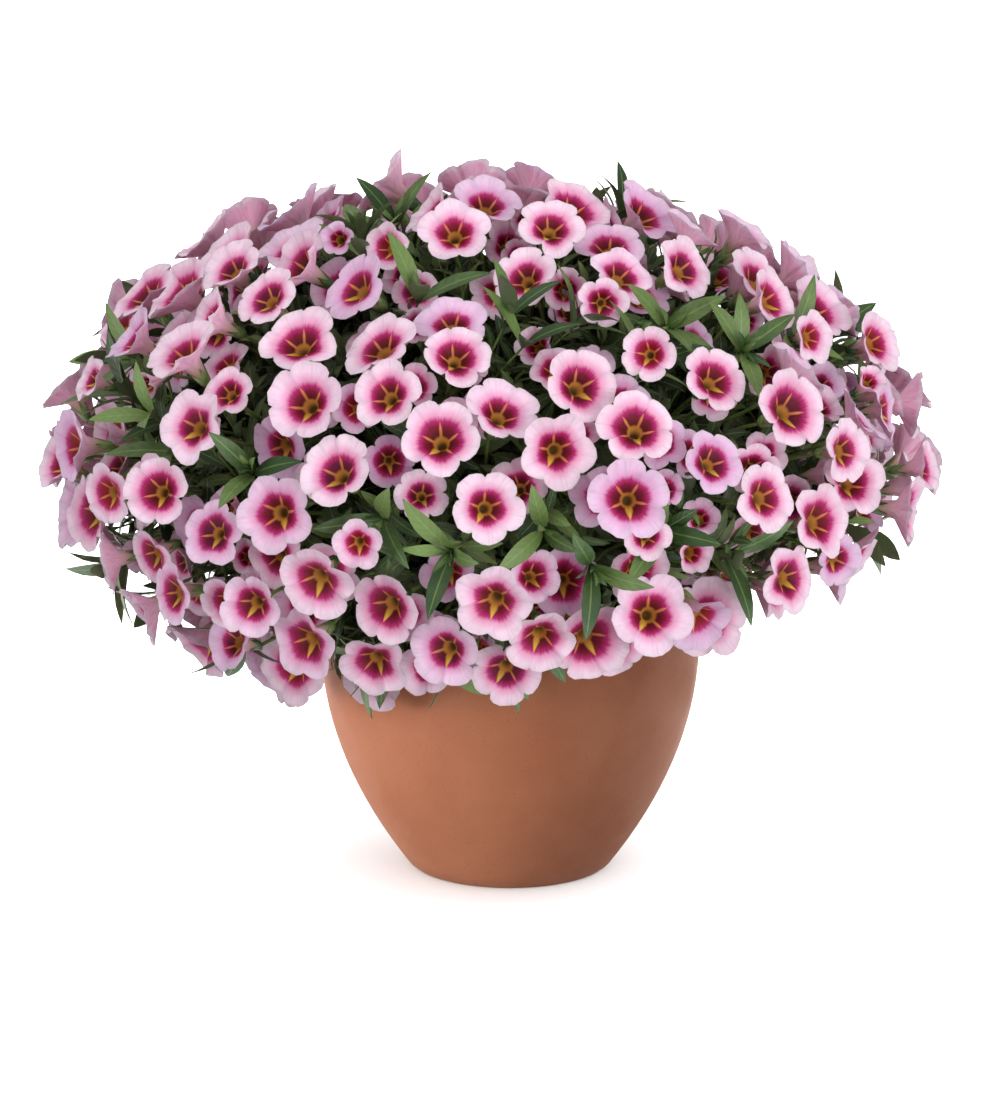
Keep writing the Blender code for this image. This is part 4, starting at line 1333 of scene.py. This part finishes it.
class CALIBRACHOA_OT_potting_mix(bpy.types.Operator):
    """Potting mix with a lumpy top, and loose crumbs of bark on it"""

    bl_idname = "calibrachoa.potting_mix"
    bl_label = "Potting mix"

    def execute(self, context):
        settings = context.scene.calibrachoa_mix
        segments = 72
        low = POT_FLOOR + 3 * POT_EDGE
        heights = np.linspace(low, SOIL_TOP - 2 * SEAT_GAP, 8)
        side = [(pot_radius(z) - POT_WALL - 1.3 * SEAT_GAP, z) for z in heights]
        brim = side[-1][0]
        spans = brim * np.array([0.97, 0.93, 0.86, 0.78, 0.69, 0.60, 0.50, 0.40, 0.30, 0.20, 0.10])
        profile = [(side[0][0] - 3 * POT_EDGE, POT_FLOOR + SEAT_GAP), *side]
        first_top = len(profile)
        profile += [(r, SOIL_TOP) for r in spans]
        rings = turned(profile, segments)
        rings[first_top:, :, 2] += self.lumps(rings[first_top:], settings.bump)
        peat = peat_finish("peat", PEAT_SHADE, tuple(settings.peat))
        uv = plain_map(len(profile), segments)
        group = ring_group(rings[None], uv, np.zeros((1, 3)), peat)
        build_piece("peat_filling", [group], "plain", "potting_mix", "potting_mix")
        self.crumbs(settings, brim)
        return {"FINISHED"}

    def crumbs(self, settings, brim):
        """Bark spread evenly over the top: out = brim * sqrt(u)."""
        random = draw(DRAW_CRUMBS)
        count = settings.crumbs
        out = brim * 0.95 * np.sqrt(random.uniform(size=count))
        turn = random.uniform(0, 2 * math.pi, count)
        place = np.stack([out * np.cos(turn), out * np.sin(turn), 0 * out + SOIL_TOP], -1)
        place[:, 2] += self.lumps(place, settings.bump) + 0.4 * MM
        crumbs = self.crumb_rings(place, random)
        bark = peat_finish("bark", BARK_SHADE, tuple(settings.bark))
        uv = plain_map(*crumbs.shape[1:3])
        group = ring_group(crumbs, uv, tints_of(count, random), bark)
        build_piece("bark_crumbs", [group], "plain", "potting_mix")

    def lumps(self, points, bump):
        """Height over the level top: a sum of sines in x and y with unlike wave lengths."""
        x, y = points[..., 0] / MM, points[..., 1] / MM
        waves = np.sin(x * 0.31 + 1.3 * np.sin(y * 0.17)) * np.cos(y * 0.27 + 0.8)
        waves += 0.5 * np.sin(x * 0.83 - y * 0.61) + 0.35 * np.sin(y * 1.37 + x * 0.9)
        return bump * 0.45 * waves

    def crumb_rings(self, place, random):
        """Chips: three rings of five points, squashed, turned and pulled about at random."""
        count = len(place)
        angles = even_angles(5)
        radii = np.array([0.5, 1.0, 0.55])[:, None] * random.uniform(0.7, 1.3, (count, 3, 5))
        size = random.uniform(1.0, 2.8, (count, 3)) * np.array([1.5, 1.0, 0.6]) * MM
        local = np.empty((count, 3, 5, 3))
        local[..., 0], local[..., 1] = radii * np.cos(angles), radii * np.sin(angles)
        local[..., 2] = np.array([-0.8, 0.0, 0.8])[:, None]
        local *= size[:, None, None]
        u = across(np.broadcast_to(UP, (count, 3)), random.normal(size=(count, 3)))
        w = unit(UP + 0.5 * random.normal(size=(count, 3)))
        u = across(w, u)
        axes = np.stack([u, np.cross(w, u), w], 1)
        return place[:, None, None] + np.einsum("nrcx,nxk->nrck", local, axes)


class CALIBRACHOA_OT_blooms(bpy.types.Operator):
    """Every bloom of each flowering shoot: funnels with five wavy lobes"""

    bl_idname = "calibrachoa.blooms"
    bl_label = "Blooms"

    def execute(self, context):
        settings = context.scene.calibrachoa_bloom
        made = blooms(settings.more)
        random = draw(DRAW_BLOOMS)
        rings = bloom_rings(made, settings.ruffle, settings.curl, random)
        tints = tints_of(len(rings), random)
        finish, uv = petal_finish(settings), bloom_map()
        for shoot in range(0, SHOOTS, 2):
            own = made["shoot"] == shoot
            group = ring_group(rings[own], uv, tints[own], finish, [MARGIN_RING])
            name = f"blooms_{shoot // 2 + 1:02d}"
            build_piece(name, [group], "flower", "petals", shoot_name(shoot))
        return {"FINISHED"}


class CALIBRACHOA_OT_stalks(bpy.types.Operator):
    """Each flowering shoot's stem, with a stalk and a calyx under every bloom"""

    bl_idname = "calibrachoa.stalks"
    bl_label = "Stems and stalks"

    def execute(self, context):
        made = blooms(context.scene.calibrachoa_bloom.more)
        random = draw(DRAW_STALKS)
        stem = stem_finish()
        calyx = leaf_finish(context.scene.calibrachoa_leaf)
        ends = made["end"] - made["facing"] * 1.2 * MM
        bend = ends - made["facing"] * 0.3 * np.linalg.norm(ends - made["joint"], axis=1)[:, None]
        bend = 0.5 * bend + 0.25 * (ends + made["joint"])
        paths = bezier(made["joint"], bend, ends, np.linspace(0, 1, TWIG_STEPS))
        radii = np.full(paths.shape[:2], STALK_RADIUS)
        stalks = swept(paths, radii, TWIG_SIDES, TWIG_HINT)
        cups = calyx_rings(made)
        cup_tints = tints_of(len(cups), random) * (1, 1, 0.4)
        for shoot in range(0, SHOOTS, 2):
            own = made["shoot"] == shoot
            count = own.sum()
            groups = [
                stem_group(shoot, stem, random),
                ring_group(stalks[own], TWIG_MAP, tints_of(count, random), stem),
                ring_group(cups[own], plain_map(4, 10), cup_tints[own], calyx),
            ]
            name = f"flower_stalks_{shoot // 2 + 1:02d}"
            build_piece(name, groups, "blade", "foliage", shoot_name(shoot))
        return {"FINISHED"}


def stem_group(shoot, finish, random):
    """A shoot's own stem, a tapering round tube along its middle line."""
    path = shoot_route(shoot, STEM_STEPS)[None]
    radii = np.linspace(SHOOT_RADIUS, SHOOT_TIP_RADIUS, path.shape[1])[None]
    rings = swept(path, radii, STEM_SIDES, STEM_HINT)
    return ring_group(rings, plain_map(path.shape[1], STEM_SIDES), tints_of(1, random), finish)


def leaf_group(shoot, leaves, blade, finish, random):
    """A shoot's own leaves of one kind, with sharp edges on both sides."""
    own = leaves["shoot"] == shoot
    rings = leaf_rings({key: value[own] for key, value in leaves.items()}, blade)
    tints = tints_of(len(rings), random)
    # The third draw of each leaf carries its painted shade.
    tints[:, 2] = leaves["deep"][own]
    return ring_group(rings, leaf_map(blade), tints, finish, (), (0, 2))


class CALIBRACHOA_OT_leaves(bpy.types.Operator):
    """Each leafy shoot: its stem, its side twigs and all their leaves"""

    bl_idname = "calibrachoa.leaves"
    bl_label = "Leafy shoots"

    def execute(self, context):
        settings = context.scene.calibrachoa_leaf
        more = context.scene.calibrachoa_bloom.more
        random = draw(DRAW_LEAVES)
        stem, blade = stem_finish(), leaf_finish(settings)
        twigs = sprigs(settings.sprigs, more)
        steps = np.linspace(0, 1, TWIG_STEPS)
        paths = bezier(twigs["joint"], twigs["bend"], twigs["tip"], steps)
        radii = np.broadcast_to((1 - 0.5 * steps) * TWIG_RADIUS, paths.shape[:2])
        tubes = swept(paths, radii, TWIG_SIDES, TWIG_HINT)
        small = sprig_leaves(settings.sprigs, settings.leaves, settings.size, settings.width, more)
        large, between = tuft_leaves(), rosette_leaves(more)
        large = {key: np.concatenate([large[key], between[key]]) for key in large}
        for shoot in range(1, SHOOTS, 2):
            side = twigs["shoot"] == shoot
            groups = [
                stem_group(shoot, stem, random),
                ring_group(tubes[side], TWIG_MAP, tints_of(side.sum(), random), stem),
                leaf_group(shoot, large, LARGE_BLADE, blade, random),
                leaf_group(shoot, small, SMALL_BLADE, blade, random),
            ]
            name = f"leafy_stem_{shoot // 2 + 1:02d}"
            build_piece(name, groups, "blade", "foliage", shoot_name(shoot))
        return {"FINISHED"}


class CALIBRACHOA_PT_panel(bpy.types.Panel):
    """The steps and their settings, in the sidebar of the 3D view"""

    bl_idname = "CALIBRACHOA_PT_panel"
    bl_label = "Calibrachoa"
    bl_space_type = "VIEW_3D"
    bl_region_type = "UI"
    bl_category = "Calibrachoa"

    def draw(self, context):
        for step in STEPS:
            self.layout.operator(step.bl_idname)
        for name, group in SETTINGS.items():
            box = self.layout.box()
            for field in group.__annotations__:
                box.prop(getattr(context.scene, name), field)


STEPS = [
    CALIBRACHOA_OT_stage,
    CALIBRACHOA_OT_pot,
    CALIBRACHOA_OT_potting_mix,
    CALIBRACHOA_OT_blooms,
    CALIBRACHOA_OT_stalks,
    CALIBRACHOA_OT_leaves,
]
CLASSES = [*SETTINGS.values(), *STEPS, CALIBRACHOA_PT_panel]


def register():
    for kind in CLASSES:
        bpy.utils.register_class(kind)
    for name, group in SETTINGS.items():
        setattr(bpy.types.Scene, name, PointerProperty(type=group))


def unregister():
    for name in SETTINGS:
        delattr(bpy.types.Scene, name)
    for kind in reversed(CLASSES):
        bpy.utils.unregister_class(kind)


def main():
    register()
    bpy.ops.calibrachoa.stage()
    bpy.ops.calibrachoa.pot()
    bpy.ops.calibrachoa.potting_mix()
    bpy.ops.calibrachoa.blooms()
    bpy.ops.calibrachoa.stalks()
    bpy.ops.calibrachoa.leaves()


if __name__ == "__main__":
    main()
